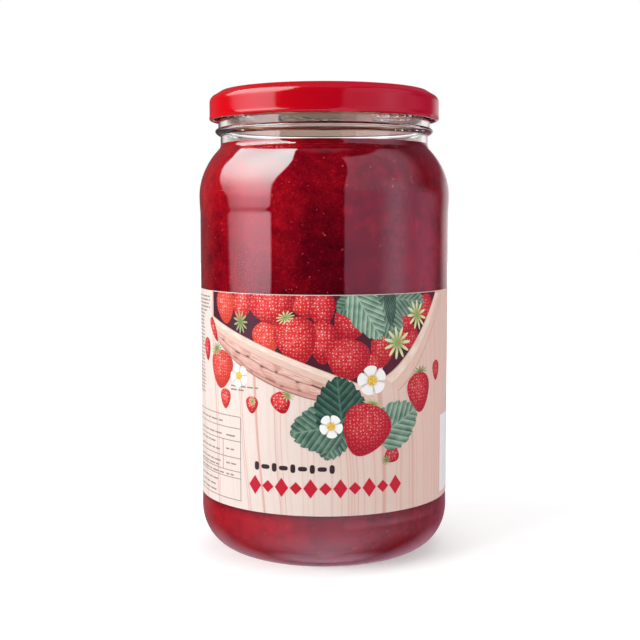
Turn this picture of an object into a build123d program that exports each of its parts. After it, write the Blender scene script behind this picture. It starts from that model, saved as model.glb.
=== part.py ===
"""A twist-off jam jar, filled to the foot of its neck: glass, lid, jam and wrap-round label.

Millimetres, +Z up. The origin is the middle of the ring that the jar stands on, and the front of
the label faces -Y. Every piece is turned about Z, apart from the thread, the lugs and the label's
glued lap.
"""

import os
from math import acos, cos, radians, sin, sqrt, tan

from build123d import *

# Glass body
panel_radius = 46.25  # the band that carries the label
band_step = 0.4  # how far the shoulder and heel bands stand out past the panel
band_run = 1.8  # height over which a band blends into the panel
lower_band = 1.8  # height of the lower band, which stands on the heel
upper_band = 4.2  # height of the upper band
shoulder_start = 130.5  # where the upper band ends and the shoulder begins to turn in
wall = 2.5
shoulder_radius = 25.5
shoulder_fillet = 3.0  # hollow where the shoulder meets the neck
cavity_fillet = 5.0  # the same on the inside

# Foot of the glass
heel_height = 17.0
heel_width = 14.0
bearing_width = 3.2  # the flat ring that the jar stands on
bearing_round = 1.5
push_up = 3.0  # how far the underside is domed
floor_thickness = 4.6  # glass above the bearing ring
floor_dome = 2.0  # how far the inside of the floor is domed

# Neck and finish
finish_radius = 39.3  # the cylinder above the bead that carries the thread
finish_height = 13.2  # from the bead to the rim
neck_inset = 0.8  # from that cylinder in to the neck below the bead
neck_height = 4.2  # from the shoulder to the bead
bead_height = 2.8
bead_reach = 1.9  # how far the bead stands out past the neck
bead_round = 0.55  # hollows above and below the bead
rim_wall = 3.1
rim_round = 1.3

# Thread: as many starts as the lid has lugs
starts = 6
thread_reach = 1.8
thread_root = 2.4  # width at the wall
thread_crest = 1.2
thread_sunk = 1.5  # how deep a start is rooted in the wall
thread_arc = 42.0  # degrees covered by one start
thread_slope = 3.6  # degrees

# Lid
sheet = 0.25
skirt_gap = 1.15  # from the thread's crest to the inside of the skirt
corner_radius = 2.8  # where the skirt rounds over
corner_turn = 69.0  # degrees that it turns before the raised ring begins
ring_rise = 1.5  # from the end of that corner up to the ring's top
ring_inset = 2.9  # from the skirt in to the ring's top
ring_width = 5.2
ring_round = 0.75
panel_drop = 0.8
panel_slope = 1.0
button_radius = 13.0
button_rise = 0.35
button_slope = 1.4
lid_height = 10.6
curl_radius = 0.85
curl_reach = 0.15  # how far the curl stands out past the skirt

# Lugs, pressed in from the curl under the thread
lug_phase = -81.0  # degrees, the lug nearest the front
lug_arc = 13.5
lug_gap = 0.7  # from the lug to the glass
lug_clearance = 0.1  # from the lug up to the thread
lug_round = 0.4
dent_depth = 0.6
dent_height = 1.9
dent_reach = 1.0  # how far past the curl the dent's cutter runs

# Jam
headspace = 18.8  # from the jam up to the rim

# Label
label_thickness = 0.1
label_gap = 0.8  # from the lower band up to the label
label_height = 76.2
lap_arc = 10.0  # degrees of the glued lap
lap_direction = 90.0

# Sizes that follow from those
band_radius = panel_radius + band_step
panel_bottom = heel_height + lower_band + band_run
panel_top = shoulder_start - upper_band - band_run
label_bottom = panel_bottom + label_gap
neck_radius = finish_radius - neck_inset
bearing_outer = band_radius - heel_width
bearing_inner = bearing_outer - bearing_width
cavity_radius = panel_radius - wall
mouth_radius = finish_radius - rim_wall
cavity_shoulder = shoulder_radius - wall


def arc_height(arc_radius, widest, narrowest):
    """Height of an arc that starts upright at the widest radius and is cut at the narrowest."""
    return arc_radius * sin(acos((narrowest - widest + arc_radius) / arc_radius))


neck_bottom = shoulder_start + arc_height(shoulder_radius, band_radius, neck_radius)
cavity_neck = shoulder_start + arc_height(cavity_shoulder, cavity_radius, mouth_radius)
bead_bottom = neck_bottom + neck_height
bead_top = bead_bottom + bead_height
rim_top = bead_top + finish_height
jam_level = rim_top - headspace
thread_radius = finish_radius + thread_reach
thread_inner = finish_radius - thread_sunk
thread_base = thread_crest + (thread_root - thread_crest) * (thread_reach + thread_sunk) / thread_reach
skirt_radius = thread_radius + skirt_gap + sheet
lid_top = rim_top + sheet
lid_bottom = lid_top - lid_height
curl_centre = skirt_radius + curl_reach - curl_radius
curl_outer = skirt_radius + curl_reach
lug_top = lid_bottom + 2 * curl_radius
lug_inner = finish_radius + lug_gap
skirt_top = lid_top - ring_rise - corner_radius * sin(radians(corner_turn))
ring_outer = skirt_radius - ring_inset
ring_inner = ring_outer - ring_width
panel_height = lid_top - panel_drop
trim = 4 * curl_radius  # the shell's outline runs this far past the axis and the rim, where it is cut off
thread_fall = finish_radius * radians(lug_arc / 2) * tan(radians(thread_slope))
thread_middle = lug_top + lug_clearance + thread_root / 2 + thread_fall


def dome_middle(half_width, edge_height, rise):
    """Point halfway along a shallow dome from its edge to the axis."""
    dome_radius = (half_width**2 + rise**2) / (2 * rise)
    half_way = half_width / 2
    drop = dome_radius - sqrt(dome_radius**2 - half_way**2)
    return half_way, edge_height + rise - drop


def corner(section, radius, height):
    """The section's corner nearest to a radius and a height."""
    return section.vertices().sort_by_distance((radius, height))[0]


def upright_plane(degrees):
    """The plane through Z at an angle from +X, with its own x outwards and its own y up."""
    turn = radians(degrees)
    return Plane(origin=(0, 0, 0), x_dir=(cos(turn), sin(turn), 0), z_dir=(sin(turn), -cos(turn), 0))


def thread_frame(degrees):
    """Axis and starting plane of one start: a circle that climbs as it turns anticlockwise."""
    turn, slope, half = radians(degrees), radians(thread_slope), radians(thread_arc / 2)
    outwards = Vector(cos(turn), sin(turn), 0)
    along = Vector(-sin(turn) * cos(slope), cos(turn) * cos(slope), sin(slope))
    upwards = Vector(sin(turn) * sin(slope), -cos(turn) * sin(slope), cos(slope))
    first = outwards * cos(half) - along * sin(half)
    centre = (0, 0, thread_middle)
    return Axis(centre, upwards), Plane(origin=centre, x_dir=first, z_dir=first.cross(upwards))


def cavity_outline():
    """Outline of the jar's inside, from its domed floor up to the rim."""
    low = floor_thickness + heel_height - wall
    floor_radius = cavity_radius - heel_width + wall
    shoulder_centre = cavity_radius - cavity_shoulder
    turned = 90 - Vector(mouth_radius - shoulder_centre, cavity_neck - shoulder_start).get_angle(Vector(0, 1))
    ThreePointArc(
        (0, floor_thickness + floor_dome),
        dome_middle(floor_radius, floor_thickness, floor_dome),
        (floor_radius, floor_thickness),
    )
    EllipticalCenterArc(
        (floor_radius, low), cavity_radius - floor_radius, low - floor_thickness, start_angle=270, arc_size=90
    )
    Line((cavity_radius, low), (cavity_radius, shoulder_start))
    CenterArc((shoulder_centre, shoulder_start), cavity_shoulder, 0, turned)
    Polyline(
        (mouth_radius, cavity_neck),
        (mouth_radius, rim_top),
        (0, rim_top),
        (0, floor_thickness + floor_dome),
    )


with BuildPart() as jar:
    with BuildSketch(Plane.XZ) as glass_section:
        with BuildLine():
            ThreePointArc((0, push_up), dome_middle(bearing_inner, 0, push_up), (bearing_inner, 0))
            Line((bearing_inner, 0), (bearing_outer, 0))
            EllipticalCenterArc(
                (bearing_outer, heel_height), heel_width, heel_height, start_angle=270, arc_size=90
            )
            Polyline(
                (band_radius, heel_height),
                (band_radius, panel_bottom - band_run),
                (panel_radius, panel_bottom),
                (panel_radius, panel_top),
                (band_radius, panel_top + band_run),
                (band_radius, shoulder_start),
            )
            shoulder_turn = 90 - Vector(
                neck_radius - band_radius + shoulder_radius, neck_bottom - shoulder_start
            ).get_angle(Vector(0, 1))
            CenterArc((band_radius - shoulder_radius, shoulder_start), shoulder_radius, 0, shoulder_turn)
            Line((neck_radius, neck_bottom), (neck_radius, bead_bottom))
            ThreePointArc(
                (neck_radius, bead_bottom),
                (neck_radius + bead_reach, bead_bottom + bead_height / 2),
                (finish_radius, bead_top),
            )
            Polyline((finish_radius, bead_top), (finish_radius, rim_top), (0, rim_top), (0, push_up))
        make_face()
        fillet(corner(glass_section, neck_radius, neck_bottom), radius=shoulder_fillet)
        fillet(corner(glass_section, neck_radius, bead_bottom), radius=bead_round)
        fillet(corner(glass_section, finish_radius, bead_top), radius=bead_round)
        fillet(corner(glass_section, bearing_inner, 0), radius=bearing_round)
    revolve(axis=Axis.Z)
    with BuildSketch(Plane.XZ) as cavity_section:
        with BuildLine():
            cavity_outline()
        make_face()
        fillet(corner(cavity_section, mouth_radius, cavity_neck), radius=cavity_fillet)
    revolve(axis=Axis.Z, mode=Mode.SUBTRACT)
    rim_edges = jar.edges().filter_by(GeomType.CIRCLE).group_by(Axis.Z)[-1]
    fillet(rim_edges, radius=rim_round)
    for start in range(starts):
        climb, first_plane = thread_frame(lug_phase + start * 360 / starts)
        with BuildSketch(first_plane):
            with BuildLine():
                Polyline(
                    (thread_inner, -thread_base / 2),
                    (thread_radius, -thread_crest / 2),
                    (thread_radius, thread_crest / 2),
                    (thread_inner, thread_base / 2),
                    close=True,
                )
            make_face()
        revolve(axis=climb, revolution_arc=thread_arc)
jar.part.label = "jar"

with BuildPart() as lid:
    with BuildSketch(Plane.XZ) as shell_section:
        with BuildLine():
            rounded = CenterArc((skirt_radius - corner_radius, skirt_top), corner_radius, 0, corner_turn)
            Polyline(
                rounded @ 1,
                (ring_outer, lid_top),
                (ring_inner, lid_top),
                (ring_inner - panel_slope, panel_height),
                (button_radius + button_slope, panel_height),
                (button_radius, panel_height + button_rise),
                (-trim, panel_height + button_rise),
                (-trim, lid_bottom - trim),
                (skirt_radius, lid_bottom - trim),
                rounded @ 0,
            )
        make_face()
        fillet(corner(shell_section, (rounded @ 1).X, (rounded @ 1).Y), radius=sheet)
        for ring_edge in (ring_outer, ring_inner):
            fillet(corner(shell_section, ring_edge, lid_top), radius=ring_round)
        offset(amount=-sheet, kind=Kind.INTERSECTION, mode=Mode.SUBTRACT)
        with Locations((0, lid_top)):
            Rectangle(trim, lid_height + trim, align=(Align.MAX, Align.MAX), mode=Mode.SUBTRACT)
        with Locations((0, lid_bottom + curl_radius)):
            Rectangle(2 * skirt_radius, lid_height, align=(Align.MIN, Align.MAX), mode=Mode.SUBTRACT)
    revolve(axis=Axis.Z)
    with BuildSketch(Plane.XZ):
        with Locations((curl_centre, lid_bottom + curl_radius)):
            Circle(curl_radius)
    revolve(axis=Axis.Z)
    for lug in range(starts):
        direction = lug_phase + lug * 360 / starts
        with BuildSketch(upright_plane(direction - lug_arc / 2)) as lug_section:
            with Locations((lug_inner, lid_bottom)):
                Rectangle(curl_centre - lug_inner, lug_top - lid_bottom, align=(Align.MIN, Align.MIN))
            fillet(lug_section.vertices().group_by(Axis.X)[0], radius=lug_round)
        revolve(axis=Axis.Z, revolution_arc=lug_arc)
        with BuildSketch(upright_plane(direction)):
            with BuildLine():
                Polyline(
                    (curl_outer, lid_bottom + dent_height),
                    (curl_outer - 2 * dent_depth, lid_bottom - dent_height),
                    (curl_outer + dent_reach, lid_bottom - dent_height),
                    (curl_outer + dent_reach, lid_bottom + dent_height),
                    close=True,
                )
            make_face()
        extrude(amount=lug_inner / 2, both=True, mode=Mode.SUBTRACT)
lid.part.label = "lid"

with BuildPart() as jam:
    with BuildSketch(Plane.XZ) as jam_section:
        with BuildLine():
            cavity_outline()
        make_face()
        fillet(corner(jam_section, mouth_radius, cavity_neck), radius=cavity_fillet)
        with Locations((0, jam_level)):
            Rectangle(cavity_radius, headspace, align=(Align.MIN, Align.MIN), mode=Mode.SUBTRACT)
    revolve(axis=Axis.Z)
jam.part.label = "jam"

with BuildPart() as label:
    with BuildSketch(Plane.XZ):
        with Locations((panel_radius, label_bottom)):
            Rectangle(label_thickness, label_height, align=(Align.MIN, Align.MIN))
    revolve(axis=Axis.Z)
    with BuildSketch(upright_plane(lap_direction - lap_arc / 2)):
        with Locations((panel_radius, label_bottom)):
            Rectangle(2 * label_thickness, label_height, align=(Align.MIN, Align.MIN))
    revolve(axis=Axis.Z, revolution_arc=lap_arc)
label.part.label = "label"

os.makedirs("parts", exist_ok=True)
for piece in (jar, lid, jam, label):
    export_step(piece.part, f"parts/{piece.part.label}.step")
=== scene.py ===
"""Looks of a filled jam jar: moulded glass, lacquered twist-off lid, red berry jam and a printed label.

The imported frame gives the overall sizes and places. Lengths are in metres, and those that are easier
to read in millimetres are written with MM. +Z is up and the jar's axis is Z. Turns round the axis are
measured from the front, -Y, and grow towards +X. A place on the label is a distance across it from
the middle of its front and a height above its lower edge.
"""

import logging
from collections.abc import Sequence
from dataclasses import dataclass, field
from enum import Enum

import bpy
import numpy as np
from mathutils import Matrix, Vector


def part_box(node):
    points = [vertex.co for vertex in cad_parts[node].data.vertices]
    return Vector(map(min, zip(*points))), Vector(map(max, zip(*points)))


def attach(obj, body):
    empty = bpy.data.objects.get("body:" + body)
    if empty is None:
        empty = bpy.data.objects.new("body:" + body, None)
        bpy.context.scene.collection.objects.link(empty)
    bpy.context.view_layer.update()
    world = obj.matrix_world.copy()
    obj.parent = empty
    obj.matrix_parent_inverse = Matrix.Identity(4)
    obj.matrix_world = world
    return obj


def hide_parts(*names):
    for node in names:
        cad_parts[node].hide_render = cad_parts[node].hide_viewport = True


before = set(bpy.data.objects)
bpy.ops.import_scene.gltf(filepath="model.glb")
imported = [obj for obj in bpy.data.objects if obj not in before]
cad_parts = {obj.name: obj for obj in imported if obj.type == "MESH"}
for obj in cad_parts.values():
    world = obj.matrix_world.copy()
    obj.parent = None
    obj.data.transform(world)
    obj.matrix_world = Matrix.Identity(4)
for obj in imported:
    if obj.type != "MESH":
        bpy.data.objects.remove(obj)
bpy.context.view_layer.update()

MM = 0.001
BODY = "root"
log = logging.getLogger("jam_jar")

Array = np.ndarray
Floats = Sequence[float]
Random = np.random.Generator
Piece = bpy.types.Object
Material = bpy.types.Material
Tree = bpy.types.NodeTree
Socket = bpy.types.NodeSocket


# ---- Paths and surfaces ----


def smooth_step(low: float, high: float, x: Array) -> Array:
    """Rises from 0 at low to 1 at high along 3t^2 - 2t^3.

    Args:
        low: where the rise begins.
        high: where it ends.
        x: the values to place on it.

    Returns:
        An array as long as x, from 0 to 1.
    """
    t = np.clip((x - low) / (high - low), 0, 1)
    return t * t * (3 - 2 * t)


def arc(centre: Floats, radius: Floats, start: float, turn: float, steps: int) -> Array:
    """Points centre + radius * (cos a, sin a), where a runs from start through turn.

    Args:
        centre: the middle of the arc.
        radius: its two half-widths, equal for a circle.
        start: first angle, in degrees.
        turn: how far it turns, in degrees, anticlockwise if positive.
        steps: how many chords it is cut into.

    Returns:
        An array of steps + 1 points.
    """
    angle = np.radians(start + turn * np.linspace(0, 1, steps + 1))
    return np.asarray(centre) + np.asarray(radius) * np.column_stack([np.cos(angle), np.sin(angle)])


def chained(*pieces: Array) -> Array:
    """One path out of several that follow each other, without the points that repeat.

    Args:
        pieces: paths, or single points, in order.

    Returns:
        The points of the whole path.
    """
    path = np.vstack([np.atleast_2d(piece) for piece in pieces])
    apart = np.linalg.norm(np.diff(path, axis=0), axis=1) > 1e-7
    return path[np.concatenate([[True], apart])]


def rounded(corners: Sequence[Floats], radii: Floats, steps: int = 6) -> Array:
    """A path of straight runs whose corners are circular arcs that touch both runs.

    Each arc begins radius * tan(turn / 2) before its corner, and its centre stands one radius off
    the run, on the side that the path turns to.

    Args:
        corners: the corners of the path, ends included.
        radii: one radius for each corner between the ends.
        steps: chords in each arc.

    Returns:
        The points of the path.
    """
    corners = np.asarray(corners, float)
    pieces = [corners[:1]]
    for before, corner, after, radius in zip(corners, corners[1:], corners[2:], radii):
        coming = (corner - before) / np.linalg.norm(corner - before)
        going = (after - corner) / np.linalg.norm(after - corner)
        turn = np.arctan2(coming[0] * going[1] - coming[1] * going[0], coming @ going)
        side = np.sign(turn)
        left = np.array([-coming[1], coming[0]])
        centre = corner - coming * radius * np.tan(abs(turn) / 2) + left * side * radius
        start = np.degrees(np.arctan2(*(-left * side)[::-1]))
        pieces.append(arc(centre, (radius, radius), start, np.degrees(turn), steps))
    return chained(*pieces, corners[-1:])


def resampled(path: Array, gap: float) -> Array:
    """The same path with points added on its runs, so that no two are further apart than the gap.

    Args:
        path: the points to keep.
        gap: the widest space between two points.

    Returns:
        The points of the path, old and new.
    """
    lengths = np.concatenate([[0], np.cumsum(np.linalg.norm(np.diff(path, axis=0), axis=1))])
    even = np.linspace(0, lengths[-1], int(lengths[-1] / gap) + 2)
    gaps = np.abs(even[:, None] - lengths[None, :]).min(axis=1)
    places = np.sort(np.concatenate([lengths, even[gaps > gap / 2]]))
    return np.column_stack([np.interp(places, lengths, path[:, axis]) for axis in range(path.shape[1])])


@dataclass
class Skin:
    """A closed mesh in the making.

    Attributes:
        points: one row for each point.
        quads: four point numbers for each four-sided face.
        triangles: three point numbers for each three-sided face.
        marks: named vectors carried by the points, which the finishes read.
        finishes: for each face, quads first, the place of its finish in the piece's list.
    """

    points: Array
    quads: Array
    triangles: Array
    marks: dict[str, Array] = field(default_factory=dict)
    finishes: Array | None = None

    def volume(self) -> float:
        """Six times the signed volume: the sum over all triangles of a . (b x c).

        Returns:
            The sum, which is positive if the faces point outwards.
        """
        halves = np.vstack([self.quads[:, [0, 1, 2]], self.quads[:, [0, 2, 3]], self.triangles])
        a, b, c = (self.points[halves[:, corner]] for corner in range(3))
        return float(np.einsum("ij,ij->", a, np.cross(b, c)))

    def facing_out(self) -> "Skin":
        """Turns all the faces over if they point inwards.

        Returns:
            The skin itself.
        """
        if self.volume() < 0:
            self.quads = self.quads[:, ::-1]
            self.triangles = self.triangles[:, ::-1]
        return self

    def made(self, name: str, finishes: Sequence[Material], crease: float = 180) -> Piece:
        """Puts the skin into a mesh object.

        Args:
            name: the object's name.
            finishes: its materials.
            crease: edges that turn more than this many degrees are shaded sharp.

        Returns:
            The object, linked to the scene, at the origin.
        """
        mesh = bpy.data.meshes.new(name)
        loops = np.concatenate([self.quads.ravel(), self.triangles.ravel()]).astype(np.int32)
        sides = np.concatenate([np.full(len(self.quads), 4), np.full(len(self.triangles), 3)])
        mesh.vertices.add(len(self.points))
        mesh.loops.add(len(loops))
        mesh.polygons.add(len(sides))
        mesh.vertices.foreach_set("co", self.points.astype(np.float32).ravel())
        mesh.loops.foreach_set("vertex_index", loops)
        mesh.polygons.foreach_set("loop_start", (np.cumsum(sides) - sides).astype(np.int32))
        mesh.polygons.foreach_set("use_smooth", np.ones(len(sides), bool))
        if self.finishes is not None:
            mesh.polygons.foreach_set("material_index", self.finishes.astype(np.int32))
        for mark, values in self.marks.items():
            attribute = mesh.attributes.new(mark, "FLOAT_VECTOR", "POINT")
            attribute.data.foreach_set("vector", values.astype(np.float32).ravel())
        mesh.update(calc_edges=True)
        mesh.validate()
        if crease < 180:
            mesh.set_sharp_from_angle(angle=np.radians(crease))
        for finish in finishes:
            mesh.materials.append(finish)
        made = bpy.data.objects.new(name, mesh)
        bpy.context.scene.collection.objects.link(made)
        return made


def joined(skins: Sequence[Skin]) -> Skin:
    """Several skins as one, each keeping its own points and marks.

    Args:
        skins: the skins, which all carry the same marks.

    Returns:
        One skin.
    """
    starts = np.cumsum([0] + [len(skin.points) for skin in skins[:-1]])
    return Skin(
        points=np.vstack([skin.points for skin in skins]),
        quads=np.vstack([skin.quads + start for skin, start in zip(skins, starts)]),
        triangles=np.vstack([skin.triangles + start for skin, start in zip(skins, starts)]),
        marks={mark: np.vstack([skin.marks[mark] for skin in skins]) for mark in skins[0].marks},
    )


def grid_quads(rows: int, columns: int, wrapped: bool) -> Array:
    """Faces between neighbouring rows and columns of a grid of points, numbered row by row.

    Args:
        rows: how many rows of points.
        columns: how many points in a row.
        wrapped: whether the last column meets the first.

    Returns:
        Four point numbers for each face, as an array of rows x columns x 4.
    """
    index = np.arange(rows * columns).reshape(rows, columns)
    nearer = index if wrapped else index[:, :-1]
    farther = np.roll(index, -1, axis=1) if wrapped else index[:, 1:]
    return np.stack([nearer[:-1], farther[:-1], farther[1:], nearer[1:]], axis=-1)


def capped(grid: Array, marks: dict[str, Array] | None = None) -> Skin:
    """A closed skin out of a grid that goes round by its columns and ends in a point at both ends.

    Every row is a ring of points. The first and last rows are each a single point repeated, and
    become a fan of triangles.

    Args:
        grid: points, as rows x columns x 3.
        marks: vectors for the same grid.

    Returns:
        The skin, facing outwards.
    """
    rows, columns = grid.shape[:2]
    ring = np.arange(columns)
    after = np.roll(ring, -1)
    last = (rows - 3) * columns
    first_pole = (rows - 2) * columns
    near_fan = np.column_stack([np.full(columns, first_pole), after, ring])
    far_fan = np.column_stack([ring + last, after + last, np.full(columns, first_pole + 1)])

    def flat(values: Array) -> Array:
        """The inner rows as one list, followed by the two end points."""
        return np.vstack([values[1:-1].reshape(-1, values.shape[2]), values[0, :1], values[-1, :1]])

    return Skin(
        points=flat(grid),
        quads=grid_quads(rows - 2, columns, True).reshape(-1, 4),
        triangles=np.vstack([near_fan, far_fan]),
        marks={mark: flat(values) for mark, values in (marks or {}).items()},
    ).facing_out()


def slab(top: Array, bottom: Array, marks: dict[str, Array] | None = None) -> Skin:
    """A closed skin between two grids of the same shape, with walls round their edges.

    Args:
        top: points of the upper face, as rows x columns x 3.
        bottom: points of the lower face.
        marks: vectors for the upper grid, which the lower one repeats.

    Returns:
        The skin, facing outwards.
    """
    rows, columns = top.shape[:2]
    index = np.arange(rows * columns).reshape(rows, columns)
    rim = np.concatenate([index[0], index[1:, -1], index[-1, -2::-1], index[-2:0:-1, 0]])
    after = np.roll(rim, -1)
    under = rows * columns
    upper = grid_quads(rows, columns, False).reshape(-1, 4)
    walls = np.column_stack([after, rim, rim + under, after + under])
    return Skin(
        points=np.vstack([top.reshape(-1, 3), bottom.reshape(-1, 3)]),
        quads=np.vstack([upper, upper[:, ::-1] + under, walls]),
        triangles=np.empty((0, 3), int),
        marks={mark: np.tile(values.reshape(-1, 3), (2, 1)) for mark, values in (marks or {}).items()},
    ).facing_out()


def round_axis(radius: Array, height: Array, turn: Array) -> Array:
    """Points at a radius from Z, a height and a turn from the front, as x = r sin t, y = -r cos t."""
    radius, height, turn = np.broadcast_arrays(radius, height, turn)
    return np.stack([radius * np.sin(turn), -radius * np.cos(turn), height], axis=-1)


def full_turn(columns: int) -> Array:
    """Evenly spaced turns round the axis, from the back round to just before it again."""
    return np.linspace(-np.pi, np.pi, columns, endpoint=False)


def angle_apart(turn: Array, other: float) -> Array:
    """How far a turn lies from another, in radians, from -pi to pi."""
    return (turn - other + np.pi) % (2 * np.pi) - np.pi


def scattered(template: Skin, places: Array, axes: Array, sizes: Array) -> Skin:
    """Copies of a small skin, each point being place + axes . (size * point).

    Args:
        template: the skin that is repeated, about one unit across.
        places: where each copy stands.
        axes: for each copy, its own x, y and z directions as columns.
        sizes: for each copy, its size along those directions.

    Returns:
        All the copies as one skin.
    """
    local = template.points[None, :, :] * sizes[:, None, :]
    points = places[:, None, :] + np.einsum("nij,nmj->nmi", axes, local)
    starts = np.arange(len(places))[:, None, None] * len(template.points)
    return Skin(
        points=points.reshape(-1, 3),
        quads=(template.quads[None] + starts).reshape(-1, 4),
        triangles=(template.triangles[None] + starts).reshape(-1, 3),
    ).facing_out()


def bead(rings: int, columns: int) -> Skin:
    """A sphere of radius 1: rings of points at even steps from pole to pole.

    Args:
        rings: how many rings, poles included.
        columns: points in each ring.

    Returns:
        The sphere's skin.
    """
    fall = np.linspace(0, np.pi, rings)[:, None]
    turn = np.linspace(0, 2 * np.pi, columns, endpoint=False)[None, :]
    return capped(round_axis(np.sin(fall), np.cos(fall), turn))


# ---- Node work ----


class Signal:
    """A socket of a node tree, wrapped so that arithmetic on it adds Math nodes."""

    def __init__(self, bench: "Bench", socket: Socket) -> None:
        """Wraps a socket of the tree that the bench works on."""
        self.bench = bench
        self.socket = socket

    def __add__(self, other: "Value") -> "Signal":
        """The sum."""
        return self.bench.math("ADD", self, other)

    def __sub__(self, other: "Value") -> "Signal":
        """The difference."""
        return self.bench.math("SUBTRACT", self, other)

    def __rsub__(self, other: "Value") -> "Signal":
        """The difference, with this one taken away."""
        return self.bench.math("SUBTRACT", other, self)

    def __mul__(self, other: "Value") -> "Signal":
        """The product."""
        return self.bench.math("MULTIPLY", self, other)

    def __truediv__(self, other: "Value") -> "Signal":
        """The quotient."""
        return self.bench.math("DIVIDE", self, other)

    def __pow__(self, power: float) -> "Signal":
        """The value raised to a power."""
        return self.bench.math("POWER", self, power)

    def __abs__(self) -> "Signal":
        """The size of the value."""
        return self.bench.math("ABSOLUTE", self)

    def at_least(self, other: "Value") -> "Signal":
        """The larger of two values."""
        return self.bench.math("MAXIMUM", self, other)

    def step(self, low: float, high: float, bottom: "Value" = 0.0, top: "Value" = 1.0) -> "Signal":
        """A smooth rise from bottom to top as the value goes from low to high, either way round."""
        inputs = {"Value": self, "From Min": low, "From Max": high, "To Min": bottom, "To Max": top}
        return Signal(self.bench, self.bench.output("MapRange", inputs, interpolation_type="SMOOTHSTEP"))

    def window(self, low: float, high: float, soft: float) -> "Signal":
        """1 between low and high and 0 outside them, with an edge this soft at both ends."""
        return self.step(low - soft, low + soft) * self.step(high + soft, high - soft)

    __radd__ = __add__
    __rmul__ = __mul__


Value = float | Floats | Socket | Signal
Inputs = dict[str | int, Value]


class Bench:
    """Short ways to add nodes to one tree and to link them."""

    def __init__(self, tree: Tree) -> None:
        """Works on a tree, which keeps whatever it already holds."""
        self.tree = tree

    def feed(self, socket: Socket, value: Value) -> None:
        """Links a socket into another, or sets its value. A colour may leave out its alpha.

        Args:
            socket: the input that is fed.
            value: what goes into it.
        """
        if isinstance(value, Signal):
            value = value.socket
        if isinstance(value, bpy.types.NodeSocket):
            self.tree.links.new(value, socket)
        elif socket.type == "RGBA" and len(value) == 3:
            socket.default_value = (*value, 1.0)
        else:
            socket.default_value = value

    def feed_all(self, node: bpy.types.Node, inputs: Inputs) -> bpy.types.Node:
        """Feeds a node's named or numbered inputs.

        Args:
            node: the node.
            inputs: a value or socket for each.

        Returns:
            The node.
        """
        for name, value in inputs.items():
            self.feed(node.inputs[name], value)
        return node

    def node(self, kind: str, inputs: Inputs, **settings: object) -> bpy.types.Node:
        """Adds a node.

        Args:
            kind: its type, without the word ShaderNode.
            inputs: a value or socket for each named or numbered input.
            settings: its properties.

        Returns:
            The new node.
        """
        made = self.tree.nodes.new("ShaderNode" + kind)
        for name, value in settings.items():
            setattr(made, name, value)
        return self.feed_all(made, inputs)

    def output(self, kind: str, inputs: Inputs, place: str | int = 0, **settings: object) -> Socket:
        """Adds a node and returns one of its outputs, by name or number."""
        return self.node(kind, inputs, **settings).outputs[place]

    def math(self, operation: str, *values: Value) -> Signal:
        """The result of a Math node on one or two values."""
        return Signal(self, self.output("Math", dict(enumerate(values)), operation=operation))

    def mix(self, share: Value, first: Value, second: Value) -> Socket:
        """A colour between two colours."""
        return self.output("Mix", {0: share, 6: first, 7: second}, 2, data_type="RGBA")

    def ramp(self, value: Value, stops: dict[float, Floats]) -> Socket:
        """A colour ramp.

        Args:
            value: what is looked up on it, from 0 to 1.
            stops: the colour at each place.

        Returns:
            The ramp's colour.
        """
        made = self.node("ValToRGB", {"Fac": value})
        elements = made.color_ramp.elements
        while len(elements) < len(stops):
            elements.new(0.5)
        for element, (place, colour) in zip(elements, stops.items()):
            element.position = place
            element.color = (*colour, 1.0)
        return made.outputs["Color"]

    def noise(self, vector: Value, scale: float, detail: float = 2.0, roughness: float = 0.5) -> Signal:
        """Soft noise from 0 to 1, about 0.5 on average."""
        inputs = {"Vector": vector, "Scale": scale, "Detail": detail, "Roughness": roughness}
        return Signal(self, self.output("TexNoise", inputs))

    def stretched(self, vector: Value, scale: Floats) -> Socket:
        """A vector with each of its parts multiplied."""
        return self.output("Mapping", {"Vector": vector, "Scale": scale})

    def place(self) -> Socket:
        """The point on the piece, in metres."""
        return self.output("TexCoord", {}, "Object")

    def mark(self, name: str) -> Socket:
        """A vector that the piece's points carry."""
        return self.output("Attribute", {}, "Vector", attribute_name=name)

    def parts(self, vector: Value) -> list[Signal]:
        """The x, y and z of a vector."""
        return [Signal(self, part) for part in self.node("SeparateXYZ", {0: vector}).outputs]

    def coloured(self, level: Value, colour: Value) -> Socket:
        """A colour multiplied by a level."""
        return self.output("VectorMath", {0: colour, "Scale": level}, operation="SCALE")

    def total(self, first: Value, second: Value) -> Socket:
        """The sum of two colours."""
        return self.output("VectorMath", {0: first, 1: second})

    def bump(self, height: Value, strength: float, distance: float) -> Socket:
        """A normal tilted by a height."""
        return self.output("Bump", {"Height": height, "Strength": strength, "Distance": distance})

    def group(self, tree: Tree, inputs: Inputs) -> bpy.types.Node:
        """Places a node group.

        Args:
            tree: the group.
            inputs: a value or socket for each of its inputs.

        Returns:
            The group's node.
        """
        made = self.tree.nodes.new("ShaderNodeGroup")
        made.node_tree = tree
        return self.feed_all(made, inputs)


def from_middle(x: Signal, y: Signal) -> Signal:
    """How far a place is from the middle: the root of x^2 + y^2."""
    return (x**2.0 + y**2.0) ** 0.5


def new_material(name: str) -> tuple[Material, Bench, bpy.types.Node]:
    """Starts a material.

    Args:
        name: the material's name.

    Returns:
        The material, a bench on its tree and its Principled node, linked to the output.
    """
    material = bpy.data.materials.new(name)
    material.use_nodes = True
    return material, Bench(material.node_tree), material.node_tree.nodes["Principled BSDF"]


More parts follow.
